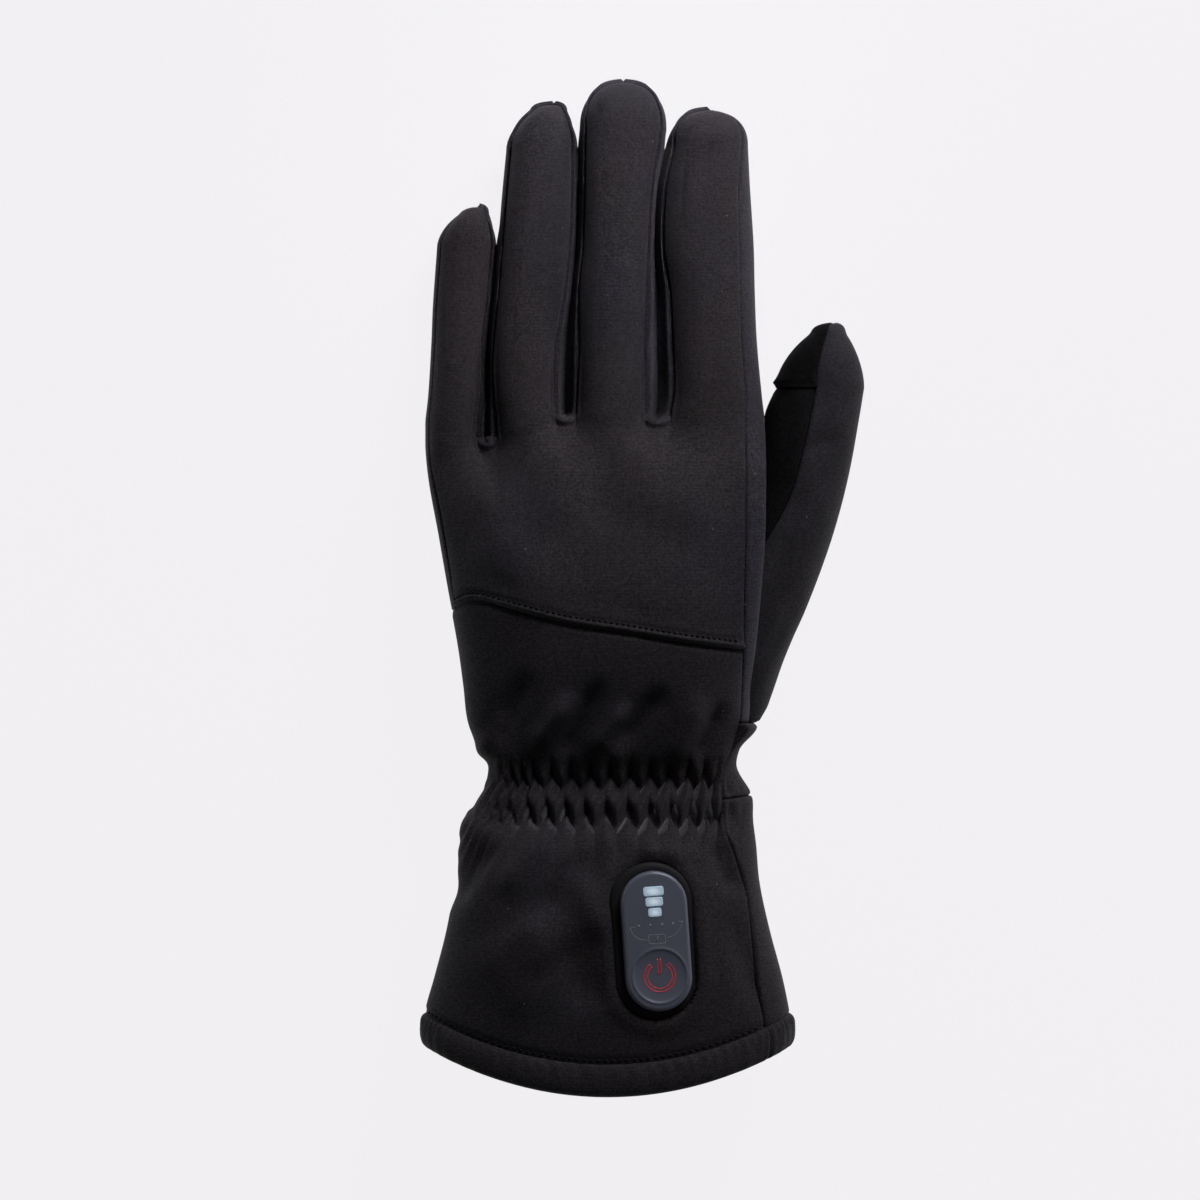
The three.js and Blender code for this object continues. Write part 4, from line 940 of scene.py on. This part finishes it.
def gatherPush(x, y, upper, lower, hold, fanned=0.0):
    rowOne, rowTwo = gathers["rowOne"], gathers["rowTwo"]
    numbers = np.arange(len(upper))
    leaning = x + 0.5 * fanned * np.clip(rowTwo - y, 0, 20)
    phaseOne, phaseTwo = np.interp(x, upper, numbers), np.interp(leaning, lower, numbers)
    between = np.clip((rowOne - y) / (rowOne - rowTwo), 0, 1)
    ridge = np.cos(2 * np.pi * lerp(phaseOne, phaseTwo, between))
    amount = np.zeros_like(x)
    toPeakOne, toPeakTwo = 2 * np.abs((phaseOne + 0.5) % 1 - 0.5), 2 * np.abs(phaseTwo % 1 - 0.5)
    rows = ((rowOne, toPeakOne, *gathers["one"]), (rowTwo, toPeakTwo, *gathers["two"]))
    for row, toPeak, zigzag, pinch, slope in rows:
        q = y - row - zigzag * (0.8 - 1.6 * toPeak ** 0.9)
        above = np.exp(-(np.clip(q, 0, None) / slope) ** 1.7)
        below = np.exp(-(np.clip(-q, 0, None) / 3.6) ** 1.1)
        amount -= pinch * hold * np.where(q > 0, above, below)
    middle = smooth(y, rowTwo - 1.5, rowTwo + 2.5) * (1 - smooth(y, rowOne - 2.5, rowOne + 1.5))
    higher = smooth(y, rowOne, rowOne + 2.0) * (1 - smooth(y, rowOne + 3.0, rowOne + 9.0))
    lowerPart = (1 - smooth(y, rowTwo - 2.0, rowTwo)) * smooth(y, rowTwo - 9.0 - 11.0 * fanned, rowTwo - 3.0)
    amount += gathers["ridge"] * ridge * (middle - 0.2 * higher + (0.3 + 0.4 * fanned) * lowerPart)
    amount += gathers["swell"] * hold * hump(y - lerp(rowTwo, rowOne, 0.5), 3.0)
    return amount


def bodyGrid(level, angles, depth):
    share, x, z = roundSection(inset(bodySection(level), depth), angles)
    return np.stack([x, level - bow(level, share), z], -1)


def bandSheet(levels, start, end, around, step):  # a band round the body between two seams
    sheet = Sheet()
    flat = levels if levels.ndim == 2 else levels[:, None]
    shares = spaced(around, step)
    rowStart, rowEnd = (np.broadcast_to(angle, flat.shape[:1]) for angle in (start, end))
    angles = anglesAlong(bodySection(flat.mean(axis=1)), rowStart, rowEnd, shares)
    grids = [bodyGrid(np.broadcast_to(flat, angles.shape), angles, depth) for depth in (0.0, wall)]
    sheet.join(sheet.add(*grids))
    sheet.settle()
    sheet.grid, sheet.shares = grids[0], shares
    sheet.levels = np.broadcast_to(flat, angles.shape)
    return sheet


leftSeamAngle = 180 + angleOf(comb["palmSeam"], bodyBelly)
cuffSize = {"around": 128.0, "step": 0.62, "tuck": 7.0, "coarseFrom": -62.0}
upperT = np.concatenate([np.linspace(0, 0.3, 14)[:-1], np.linspace(0.3, 1, 26)])
roughShare = np.cos(np.radians(lerp(30, 180, spaced(cuffSize["around"], cuffSize["step"]))))
upperLevels = lerp((flapY(roughShare) + cuffSize["tuck"])[None, :], palmEnd, upperT[:, None])
lowerLevels = np.concatenate([np.arange(palmEnd, cuffSize["coarseFrom"], -0.5)[1:],
                              np.arange(cuffSize["coarseFrom"], hemTop, -0.75), [hemTop]])
cuffLevels = np.vstack([upperLevels, np.broadcast_to(lowerLevels[:, None], (len(lowerLevels), len(roughShare)))])
cuffBack = bandSheet(cuffLevels, seamAngle(cuffLevels[:, 0]), leftSeamAngle, cuffSize["around"], cuffSize["step"])
cuffLook = {
    "folds": [  # below the overlapping edge, then below the gathers
        (-7, -17.5, -18, -32, 3.0, 1.4), (-19, -12, -30, -31, 3.4, -1.4), (9, -20, -1, -33, 2.6, 1.3),
        (1, -14, -11, -36, 3.0, -1.5), (19, -16, 6, -31, 3.2, -1.3), (30, -18, 21, -36, 3.0, 1.0),
        (36, -20, 29, -36, 2.6, -1.2), (-26, -22, -32, -34, 2.4, 0.9), (2, -58, -16, -80, 4.2, -1.6),
        (-13, -55, -26, -72, 4.2, 1.3), (-22, -80, -12, -92, 7.5, 1.0), (-30, -58, -41, -76, 3.4, -1.0),
        (10, -59.5, 27, -61, 3.4, 1.2), (34, -58, 39, -72, 3.0, -1.1), (-8, -84, -2, -104, 6.0, -0.9),
        (-32, -86, -16, -106, 7.0, 0.8), (38, -78, 47, -104, 4.0, -0.7), (-6, -66, 2, -84, 4.0, 0.9)],
    "recess": {"x": -0.5, "y": -0.3, "margin": 1.8, "depth": 2.7, "swell": 0.65},
    "foldScale": 1.9, "sag": 3.6, "sagAt": -39, "sagReach": 14, "edgeTurn": 1.1,
}
for i, points in enumerate((cuffBack.rest, cuffBack.inner)):  # the empty wrist sinks between hand and cuff
    section = bodySection(points[:, 1])
    share = np.abs(shareOf(section, points[:, 0]))
    sag = cuffLook["sag"] * hump(points[:, 1] - cuffLook["sagAt"], cuffLook["sagReach"])
    points[:, 2] -= sag * (1 - smooth(share, 0.5, 0.93)) * smooth(points[:, 2], 12, 18)
    if i == 0:
        sideFade = 1 - 0.75 * smooth(share, 0.80, 0.99)
cuffBack.outer = cuffBack.rest.copy()
fromSeam = distanceTo(cuffBack.rest, [cuffBack.grid[:, 0], cuffBack.grid[:, -1]])
fromHem = (cuffBack.levels - hemTop).ravel()
below = -flapDistance(cuffBack.rest)
amount = np.maximum(rollIn(fromSeam), seamRoll["deepest"])
amount += rollIn(fromHem, 1.0, 0.9) - 0.5 * hump(fromHem - 1.5, 0.6)
amount -= cuffLook["edgeTurn"] * (1 - smooth(below, 0.0, 1.7)) * (0.35 + 0.65 * sideFade)
fanned = smooth(-cuffBack.rest[:, 0], 18, 32)
amount += gatherPush(cuffBack.rest[:, 0], cuffBack.rest[:, 1], gathers["upper"], gathers["lower"],
                     sideFade ** 1.6 * (1 - 0.65 * fanned), fanned) * smooth(fromSeam, 0.0, 2.5) * sideFade
amount += cuffLook["foldScale"] * foldsOn(cuffBack.rest, cuffLook["folds"]) + unevenness(cuffBack.rest, fromSeam)
local = cuffBack.rest @ toControl[:3, :3].T + toControl[:3, 3]
recess = cuffLook["recess"]
ring = stadiumGap(local[:, 0] - recess["x"], local[:, 1] - recess["y"], control["length"], control["width"])
facing = cuffBack.rest[:, 2] > 15
amount += facing * (-recess["depth"] * (1 - smooth(ring, recess["margin"] - 0.8, recess["margin"] + 0.9))
                    + recess["swell"] * hump(ring - recess["margin"] - 2.6, 2.4))
cuffBack.push(amount)
clothPiece("cuff_back_cloth", cuffBack, softshellCloth, "cuff_back", "softshell")

palmSideLook = {"around": 120.0, "step": 0.9, "pitch": 5.2, "push": 0.75, "thumbSwell": 3.0, "coarseFrom": -64.0}


def palmSide(name, node, levels, strength):  # the wrist and the cuff on the palm's side
    look = palmSideLook
    band = bandSheet(levels, leftSeamAngle, 360 + seamAngle(levels), look["around"], look["step"])
    edges = [band.grid[:, 0], band.grid[:, -1], band.grid[0], band.grid[-1]]
    gap = distanceTo(band.rest, edges)
    run = np.broadcast_to(band.shares * look["around"] / look["pitch"], band.levels.shape).ravel()
    phase = run + 0.15 * np.sin(0.09 * band.rest[:, 0])
    level = band.levels.ravel()
    numbers = np.arange(-2.0, 30.0)
    side = shareOf(bodySection(band.rest[:, 1]), band.rest[:, 0])
    rim = 1 - 0.7 * smooth(-side, 0.82, 1.0) - smooth(side, 0.78, 0.97)
    push = look["push"] * gatherPush(phase, level, numbers, numbers, rim) * smooth(gap, 0.0, 2.5) * rim
    push += look["thumbSwell"] * smooth(side, 0.5, 0.9) * (1 - smooth(palmEnd - level, 0, 8.5))
    band.push(rollIn(gap) + push * strength + unevenness(band.rest, gap), aboveFloor=True)
    clothPiece(name, band, softshellCloth, node, "softshell")


stripLevels = np.concatenate([np.arange(palmEnd, stripEnd, -0.6), [stripEnd]])
cuffPalmLevels = np.concatenate([np.arange(stripEnd, palmSideLook["coarseFrom"], -0.6),
                                 np.arange(palmSideLook["coarseFrom"], hemTop, -1.2), [hemTop]])
palmSide("wrist_strip_cloth", "wrist_strip", stripLevels, 1.0)
palmSide("cuff_palm_cloth", "cuff_palm", cuffPalmLevels, 0.8)

hem = {"around": 560, "profile": 30, "pucker": 0.22, "jointAngle": 33.0, "tuck": 0.7}


def hemPiece():  # padded binding round the cuff's mouth
    degrees = 360 * np.arange(hem["around"]) / hem["around"]
    section = inset(bodySection(np.full(hem["around"], hemTop)), wall / 2)
    degrees = anglesAlong({key: (value[:1] if np.ndim(value) else value) for key, value in section.items()},
                          np.array([0.0]), np.array([360.0]), np.append(degrees, 360) / 360)[0][:-1]
    turn = 2 * np.pi * np.arange(hem["profile"]) / hem["profile"]
    out = 0.5 * np.sign(np.cos(turn)) * np.abs(np.cos(turn)) ** (2 / 2.7)
    down = 0.5 - 0.5 * np.sign(np.sin(turn)) * np.abs(np.sin(turn)) ** (2 / 2.9)
    rows = []
    for angle in degrees:
        ridge = 1 + 0.05 * math.sin(angle * 0.31) + 0.04 * math.sin(angle * 0.83 + 1)
        fromJoint = (angle - hem["jointAngle"] + 180) % 360 - 180
        joint = hump(fromJoint, 0.8) - 0.5 * hump(fromJoint - 2.2, 1.4)
        pucker = hem["pucker"] * math.sin(math.radians(angle) * 86) * hump(down - 0.16, 0.16)
        thick = sizes["hemThickness"] * ridge * (1 - 0.38 * joint)
        outward = out * thick + pucker * (out > 0) + 0.35 * (out > 0) * hump(down - 0.55, 0.4)
        shape = {key: (value[0] if np.ndim(value) else value) for key, value in section.items()}
        base = {**shape, "left": shape["left"] - outward, "right": shape["right"] + outward,
                "top": shape["top"] + outward, "bottom": shape["bottom"] - outward,
                "floor": np.maximum(0, 0.5 * thick - outward)}
        share, x, z = roundSection(base, np.full_like(turn, angle))
        level = hemTop + hem["tuck"] - down * (sizes["hemHeight"] + hem["tuck"])
        rows.append(np.stack([x, level - bow(hemTop, share), z], -1))
    points, faces = ringedGrid(np.array(rows), wrapRows=True)
    piece = meshPiece("hem_binding_cloth", points, faces, [bindingCloth], "softshell", "hem_binding")


hemPiece()
print("hem is made")

thumb = {"rootY": -0.245 * palmLength, "roundFrom": 0.835, "tip": 0.707, "blunt": 1.5, "underSeam": 262.0,
         "patchFrom": 0.835, "fuller": 1.3, "footFuller": 0.5, "step": 0.9, "around": 40.0}
thumbLook = {
    "folds": [(50, 16, 58, 44, 3.0, -0.7), (56, 14, 66, 40, 3.6, 0.6), (48, -8, 58, 12, 2.6, -0.8),
              (44, -18, 54, 0, 2.4, 0.6), (60, 52, 70, 56, 3.0, -0.5), (52, 40, 62, 62, 3.0, 0.4)],
    "patchLip": 1.0, "footTuck": 4.6, "footRise": 2.8, "footReach": 2.2, "buried": 1.6, "patchLap": 1.4,
}
thumbRoundY = thumb["rootY"] + thumb["roundFrom"] * sizes["thumbLength"]
thumbRoundLength = sizes["thumbLength"] * (1 - thumb["roundFrom"])


def thumbAt(y, share, depth):
    at = np.clip((y - thumb["rootY"]) / sizes["thumbLength"], 0, thumb["roundFrom"])
    thick = sizes["thumbThickness"]
    left = fair(at, thumbShape, 1) * palmWidth
    fuller = thumb["fuller"] + thumb["footFuller"] * (1 - smooth(y - thumb["rootY"], 0, 8))
    right = left + fair(at, thumbShape, 2) * sizes["thumbWidth"] + fuller
    section = inset({"left": left, "right": right, "top": fair(at, thumbShape, 3) * thick, "edgeLeft": 0.47 * thick,
                     "edgeRight": 0.47 * thick, "bottom": 0.01 * thick,
                     "crown": 2.1, "belly": 2.3, "floor": 0.3}, depth)
    return rounded(section, share, thumb["tip"] * palmWidth, thumb["blunt"], 2.0), fair(at, thumbShape, 4)


def thumbSheet(inner, fromY, toTip, toY=None):  # what lies deep in the hand is left out
    toY = thumbRoundY if toTip else toY
    straight = np.linspace(fromY, toY, max(3, int((toY - fromY) / thumb["step"])))
    share = np.zeros_like(straight)
    if toTip:
        tips = tipShare(1 + np.linspace(0.05, 1, 22)) * nearlyOne
        straight = np.concatenate([straight, np.full(len(tips), thumbRoundY)])
        share = np.concatenate([share, tips])
    section, seam = thumbAt(straight, share, 0.0)
    start, end = (seam, thumb["underSeam"]) if inner else (thumb["underSeam"] - 360, seam)
    angles = anglesAlong(section, start, end, spaced(thumb["around"], thumb["step"]))
    sheet, grids = Sheet(), []
    for depth in (0.0, wall):
        section, _ = thumbAt(straight[:, None], share[:, None], depth)
        grids.append(sectionPoints(section, angles, (straight + share * (thumbRoundLength - depth))[:, None]))
    index = sheet.add(*grids)
    x, y, z = np.moveaxis(grids[0], -1, 0)
    hand = bodySection(y)
    handShare, cover = shareOf(hand, x), thumbLook["buried"]
    buried = (x < hand["right"] - cover) & (z < heightAt(hand, handShare, True) - cover) \
        & (z > heightAt(hand, handShare, False) + cover)
    corners = gridFaces(index)
    sheet.faces += corners[~buried.ravel()[corners].all(axis=1)].tolist()
    if toTip:
        sheet.faces.append(index[-1].tolist())
    sheet.settle()
    sheet.grid = grids[0]
    return sheet


patchY = thumb["rootY"] + thumb["patchFrom"] * sizes["thumbLength"]
thumbParts = (
    ("thumb_outer_cloth", "thumb_outer_panel", "side_shell", thumbCloth,
     thumbSheet(False, thumb["rootY"] - thumbLook["footReach"], True), 0),
    ("thumb_inner_cloth", "thumb_inner_panel", "softshell", thumbInsideDarkAndShaded,
     thumbSheet(True, thumb["rootY"], False, patchY + thumbLook["patchLap"]), None),
    ("thumb_patch_cloth", "thumb_touch_patch", "nap", patchCloth, thumbSheet(True, patchY, True), 0),
)
for pieceName, node, slotName, cloth, sheet, sewnRow in thumbParts:
    sewn = [sheet.grid[:, 0], sheet.grid[:, -1]] + ([] if sewnRow is None else [sheet.grid[sewnRow]])
    gap = distanceTo(sheet.rest, sewn)
    swell = 0
    if pieceName == "thumb_patch_cloth":
        swell = thumbLook["patchLip"] * hump(sheet.rest[:, 1] - patchY - 1.0, 1.6)
    elif pieceName == "thumb_inner_cloth":
        swell = -0.8 * smooth(sheet.rest[:, 1], patchY - 1.0, patchY + 1.0)
    elif pieceName == "thumb_outer_cloth":  # its foot turns in to the strip at the wrist
        fromFoot = sheet.rest[:, 1] - sheet.grid[0, 0, 1]
        swell = -thumbLook["footTuck"] * (1 - smooth(fromFoot, 0, thumbLook["footRise"]))
    folds = foldsOn(sheet.rest, thumbLook["folds"])
    sheet.push(rollIn(gap) + folds + unevenness(sheet.rest, gap) + swell, aboveFloor=True)
    # points that no face uses go
    used = np.unique([i for face in sheet.faces for i in face])
    renumber = np.full(len(sheet.outer), -1)
    renumber[used] = np.arange(len(used))
    sheet.faces = [[int(renumber[i]) for i in face] for face in sheet.faces]
    sheet.outer, sheet.inner = sheet.outer[used], sheet.inner[used]
    clothPiece(pieceName, sheet, cloth, node, slotName)


def surfaceLine(sheet, points):  # the sheet's own points nearest to a line, with their normals
    normals = normalsOf(sheet.outer, sheet.faces)
    tree = treeOf(sheet.rest)
    placed, ups = [], []
    for point in points:
        found = tree.find_n(point, 4)
        weights = np.array([1 / (item[2] + 0.05) for item in found])
        weights /= weights.sum()
        ids = [item[1] for item in found]
        shift = (sheet.outer[ids] - sheet.rest[ids]).T @ weights
        placed.append(np.asarray(point) + shift)
        up = normals[ids].T @ weights
        ups.append(up / np.linalg.norm(up))
    return np.array(placed), np.array(ups)


def alongLine(places, run, values):
    return np.stack([np.interp(places, run, column) for column in values.T], -1)


def stitchRow(name, sheet, line, pitch, length, radius, raised):  # short capsules of thread along a line
    points, ups = surfaceLine(sheet, line)
    run = np.concatenate([[0], np.cumsum(np.linalg.norm(np.diff(points, axis=0), axis=1))])
    places = np.arange(pitch / 2, run[-1], pitch)
    up = alongLine(places, run, ups)
    ahead = alongLine(places + 0.2, run, points) - alongLine(places - 0.2, run, points)
    ahead /= np.linalg.norm(ahead, axis=1)[:, None] + 1e-9
    side = np.cross(ahead, up)
    side /= np.linalg.norm(side, axis=1)[:, None] + 1e-9
    up = np.cross(side, ahead)
    centre = alongLine(places, run, points) + up * raised
    rings = [(-0.5, 0.35, -0.9), (-0.40, 0.85, -0.2), (-0.18, 1.0, 0.25), (0.18, 1.0, 0.25), (0.40, 0.85, -0.2),
             (0.5, 0.35, -0.9)]  # along, width, rise
    turn = -2 * np.pi * np.arange(8) / 8
    circle = np.cos(turn)[:, None, None] * side + np.sin(turn)[:, None, None] * up
    parts = [ringedGrid(np.stack([c + a * along * length + u * rise * radius + radius * wide * round
                                  for along, wide, rise in rings]), caps=True)
             for c, a, u, round in zip(centre, ahead, up, circle.transpose(1, 0, 2))]
    meshPiece(name, *joined(parts), [threadWithHoleShade], "softshell")


def joined(parts):  # several points and faces lists as one
    points, faces, count = [], [], 0
    for part, partFaces in parts:
        points.append(part)
        faces += [[i + count for i in face] for face in partFaces]
        count += len(part)
    return np.vstack(points), faces


# pitch, length, radius and how far the thread is raised
stitches = {"flap": (1.65, 1.08, 0.40, 0.12), "hem": (2.0, 1.45, 0.32, 0.05), "recess": (2.1, 1.3, 0.2, 0.05)}
flapShares = np.linspace(0.87, -0.96, 170)
flapLine = backLine(flapY(flapShares) + backLook["stitchInset"], flapShares)
stitchRow("flap_stitches", back, flapLine, *stitches["flap"])

hemShares = np.linspace(0.83, -0.985, 240)
hemLevel = np.full_like(hemShares, hemTop + 1.5)
hemLine = backLine(hemLevel, hemShares, bow(hemLevel, hemShares))
stitchRow("hem_stitches", cuffBack, hemLine, *stitches["hem"])

turn = np.linspace(0, 2 * np.pi, 200)
straightHalf = (control["length"] - control["width"]) / 2
ringRadius = control["width"] / 2 + recess["margin"] + 0.35
ringX = recess["x"] + ringRadius * np.cos(turn)
ringY = recess["y"] + ringRadius * np.sin(turn) + straightHalf * np.sign(np.sin(turn) + 1e-9)
ringLine = np.stack([ringX, ringY, np.zeros_like(turn)], -1)
ringWorld = ringLine @ controlTurn[:3, :3].T + controlTurn[:3, 3]
fromAbove = treeOf(np.column_stack([cuffBack.rest[:, :2], np.where(facing, 0, 999)]))
ringWorld = np.array([cuffBack.rest[fromAbove.find((x, y, 0))[1]] for x, y, _ in ringWorld])
kept = np.concatenate([[True], np.linalg.norm(np.diff(ringWorld, axis=0), axis=1) > 0.3])
stitchRow("recess_stitches", cuffBack, ringWorld[kept], *stitches["recess"])
print("stitches are sewn")


def stadiumOutline(width, straight, count):  # both round ends and both sides get their share of the points
    onSide = count // 5
    onEnd = count // 2 - onSide
    turn = np.pi * (np.arange(onEnd) + 0.5) / onEnd
    run = straight * (1 - 2 * (np.arange(onSide) + 0.5) / onSide)
    x = np.concatenate([width * np.cos(turn), np.full(onSide, -width)])
    y = np.concatenate([straight + width * np.sin(turn), run])
    return np.concatenate([x, -x]), np.concatenate([y, -y])


def coverTop(x, y):  # height of the cover's face in the control's own frame
    gap = stadiumGap(x, y, control["length"], control["width"])
    inside = np.clip(-gap, 0, None)
    edge = 1 - np.clip(inside / control["bevel"], 0, 1)
    face = control["proud"] + control["crown"] * smooth(inside, 0, control["width"] / 2) \
        - control["bevel"] * (1 - np.sqrt(np.clip(1 - edge ** 2, 0, 1)))
    r = np.hypot(x - control["buttonX"], y - control["buttonY"]) / control["buttonRadius"]
    dish = control["buttonDish"] * np.clip(1 - r * r, 0, 1) ** 0.8
    return face - dish + 0.14 * hump(r - 1.03, 0.05)


def controlPiece(name, points, faces, material, slot="control", node=None):
    meshPiece(name, points @ controlTurn[:3, :3].T + controlTurn[:3, 3], faces, [material], slot, node)


def coverPiece():
    count, rings = 400, 46
    halfWidth = control["width"] / 2
    fractions = 1 - (np.arange(rings + 1) / rings) ** 1.12
    foot, footEdge = control["proud"] - control["height"], 0.4
    grid = []
    for pull, z in ((footEdge, foot), (0.0, foot + footEdge), (0.0, control["proud"] - control["bevel"])):
        x, y = stadiumOutline(halfWidth - pull, straightHalf, count)
        grid.append(np.stack([x, y, np.full(count, z)], -1))
    for fraction in fractions[1:-1]:
        x, y = stadiumOutline(halfWidth * fraction, straightHalf, count)
        grid.append(np.stack([x, y, coverTop(x, y)], -1))
    points, faces = ringedGrid(np.array(grid))
    index = indexOf(np.array(grid))
    # the middle closes across its straight line
    last = np.roll(index[-1], -(count // 2 - count // 5) // 2).tolist()
    faces += [[last[i], last[i + 1], last[count - 2 - i], last[count - 1 - i]] for i in range(count // 2 - 1)]
    faces.append(index[0][::-1].tolist())
    controlPiece("control_cover", points, faces, coverPlastic, node="control_housing")


coverPiece()


def windowPiece(name, node, width, height, y):  # a light window with rounded corners, just above the cover's face
    count, radius = 48, 0.7
    turn = 2 * np.pi * (np.arange(count) + 0.5) / count
    outline = []
    for pull, rise in ((0.0, -0.3), (0.0, 0.05), (0.06, 0.12), (0.2, 0.15), (0.55, 0.16)):
        x = (width / 2 - radius) * np.sign(np.cos(turn)) + (radius - pull) * np.cos(turn)
        z = (height / 2 - radius) * np.sign(np.sin(turn)) + (radius - pull) * np.sin(turn)
        outline.append(np.stack([x, y + z, coverTop(x, y + z) + rise], -1))
    controlPiece(name, *ringedGrid(np.array(outline), caps=True), windowGlow, "lights", node)


windows = {"height": 2.65, "first": control["length"] / 2 - 5.6, "pitch": 2.95, "widths": (5.7, 4.9, 3.75)}
for i, width in enumerate(windows["widths"]):
    windowPiece(f"light_window_{i + 1}", f"light_bar_{i + 1}", width, windows["height"] - 0.1 * i,
                windows["first"] - i * windows["pitch"])


def ribbon(points, width, closed=False, rise=0.05):  # a printed line lying on the cover
    points = np.asarray(points, float)
    ahead = np.roll(points, -1, axis=0) - np.roll(points, 1, axis=0)
    if not closed:
        ahead[0], ahead[-1] = points[1] - points[0], points[-1] - points[-2]
    ahead /= np.linalg.norm(ahead, axis=1)[:, None]
    side = np.stack([-ahead[:, 1], ahead[:, 0]], -1) * width / 2
    rows = []
    shoulder, buried = rise * 0.4, -0.12
    for across, up in ((1.0, buried), (1.0, shoulder), (0.6, rise), (-0.6, rise), (-1.0, shoulder), (-1.0, buried)):
        xy = points + side * across
        rows.append(np.stack([xy[:, 0], xy[:, 1], coverTop(xy[:, 0], xy[:, 1]) + up], -1))
    return ringedGrid(np.array(rows).transpose(1, 0, 2), wrapRows=closed, caps=not closed)


def disc(x, y, radius):
    turn = 2 * np.pi * np.arange(20) / 20
    rows = []
    for r, up in ((radius, -0.12), (radius, 0.03), (radius * 0.7, 0.06)):
        outX, outY = x + r * np.cos(turn), y + r * np.sin(turn)
        rows.append(np.stack([outX, outY, coverTop(outX, outY) + up], -1))
    return ringedGrid(np.array(rows), caps=True)


def curve(points, count=26):  # a smooth line through a few points
    points = np.asarray(points, float)
    run = np.concatenate([[0], np.cumsum(np.linalg.norm(np.diff(points, axis=0), axis=1))])
    table = np.column_stack([run, points])
    at = np.linspace(0, run[-1], count)
    return np.stack([fair(at, table, 1), fair(at, table, 2)], -1)


marks = {"line": 0.24, "dots": (-4.8, -1.55, 1.75, 4.75), "dotY": 4.6, "dotRadius": 0.42,
         "battery": (0.1, 0.62, 4.7, 2.5)}
bx, by, bw, bh = marks["battery"]
corner = 0.5  # radius of the battery's corners
batteryTurn = 2 * np.pi * (np.arange(40) + 0.5) / 40
turnX, turnY = np.cos(batteryTurn), np.sin(batteryTurn)
batteryOutline = np.stack([bx + (bw / 2 - corner) * np.sign(turnX) + corner * turnX,
                           by + (bh / 2 - corner) * np.sign(turnY) + corner * turnY], -1)
greyParts = [disc(x, marks["dotY"], marks["dotRadius"]) for x in marks["dots"]]
greyParts += [
    ribbon(curve([(-5.7, 4.5), (-7.2, 4.25)], 6), marks["line"]),
    ribbon(curve([(-7.2, 4.25), (-6.9, 3.1), (-6.1, 1.85), (-4.6, 0.85), (-2.6, 0.5)]), marks["line"]),
    ribbon(curve([(2.75, 0.75), (4.5, 1.15), (5.9, 2.1), (7.0, 3.5), (7.55, 5.1)]), marks["line"]),
    ribbon(curve([(7.55, 5.1), (6.2, 5.0)], 6), marks["line"]),
    ribbon(batteryOutline, marks["line"], closed=True),
    ribbon([(0.55, 1.45), (-0.25, 0.55), (0.45, 0.70), (-0.35, -0.2)], 0.2),
]
controlPiece("control_marks", *joined(greyParts), printGrey)

power = {"x": control["buttonX"], "y": control["buttonY"] - 0.1, "rings": (4.35, 3.45), "line": 0.34, "gap": 34}
redParts = []
for radius in power["rings"]:
    turn = np.radians(np.linspace(90 + power["gap"], 450 - power["gap"], 64))
    arc = np.stack([power["x"] + radius * np.cos(turn), power["y"] + radius * np.sin(turn)], -1)
    redParts.append(ribbon(arc, power["line"]))
for side in (-0.42, 0.42):
    redParts.append(ribbon([(power["x"] + side, power["y"] + 4.9 - i * 0.5) for i in range(10)], power["line"]))
controlPiece("power_symbol", *joined(redParts), printRed)


def recessShadePiece():  # near-black band in the bottom of the recess: painted shade for the dark gap round the control
    count = 220
    rows = []
    for margin, z in ((2.4, -2.6), (2.4, -1.7), (1.9, -1.1), (1.2, -0.9), (0.5, -0.85), (-0.6, -0.9), (-0.6, -2.2)):
        x, y = stadiumOutline(control["width"] / 2 + margin, straightHalf, count)
        drop = 0.0028 * (x * x)  # the cuff falls away to both sides
        rows.append(np.stack([x + recess["x"] * max(margin, 0) / 2.4, y, z - drop], -1))
    controlPiece("control_recess_shade", *ringedGrid(np.array(rows), wrapRows=True), recessShadeBand)


recessShadePiece()
print("control is made")

floorMesh = bpy.data.meshes.new("floor")
reach = studio["floorReach"]
floorCorners = [(-reach, -reach, 0), (reach, -reach, 0), (reach, reach, 0), (-reach, reach, 0)]
floorMesh.from_pydata(floorCorners, [], [(0, 1, 2, 3)])
floorMaterial, floorTree, floorShader = newMaterial("floor")
feedAll(floorTree, floorShader, {
    "Base Color": (studio["floorPaint"],) * 3, "Roughness": 0.9, "Specular IOR Level": 0.0,
    "Emission Color": studio["floorGlow"], "Emission Strength": 1.0})
floorMesh.materials.append(floorMaterial)
floor = bpy.data.objects.new("floor", floorMesh)
floor.location.z = -studio["floorDrop"]
bpy.context.collection.objects.link(floor)
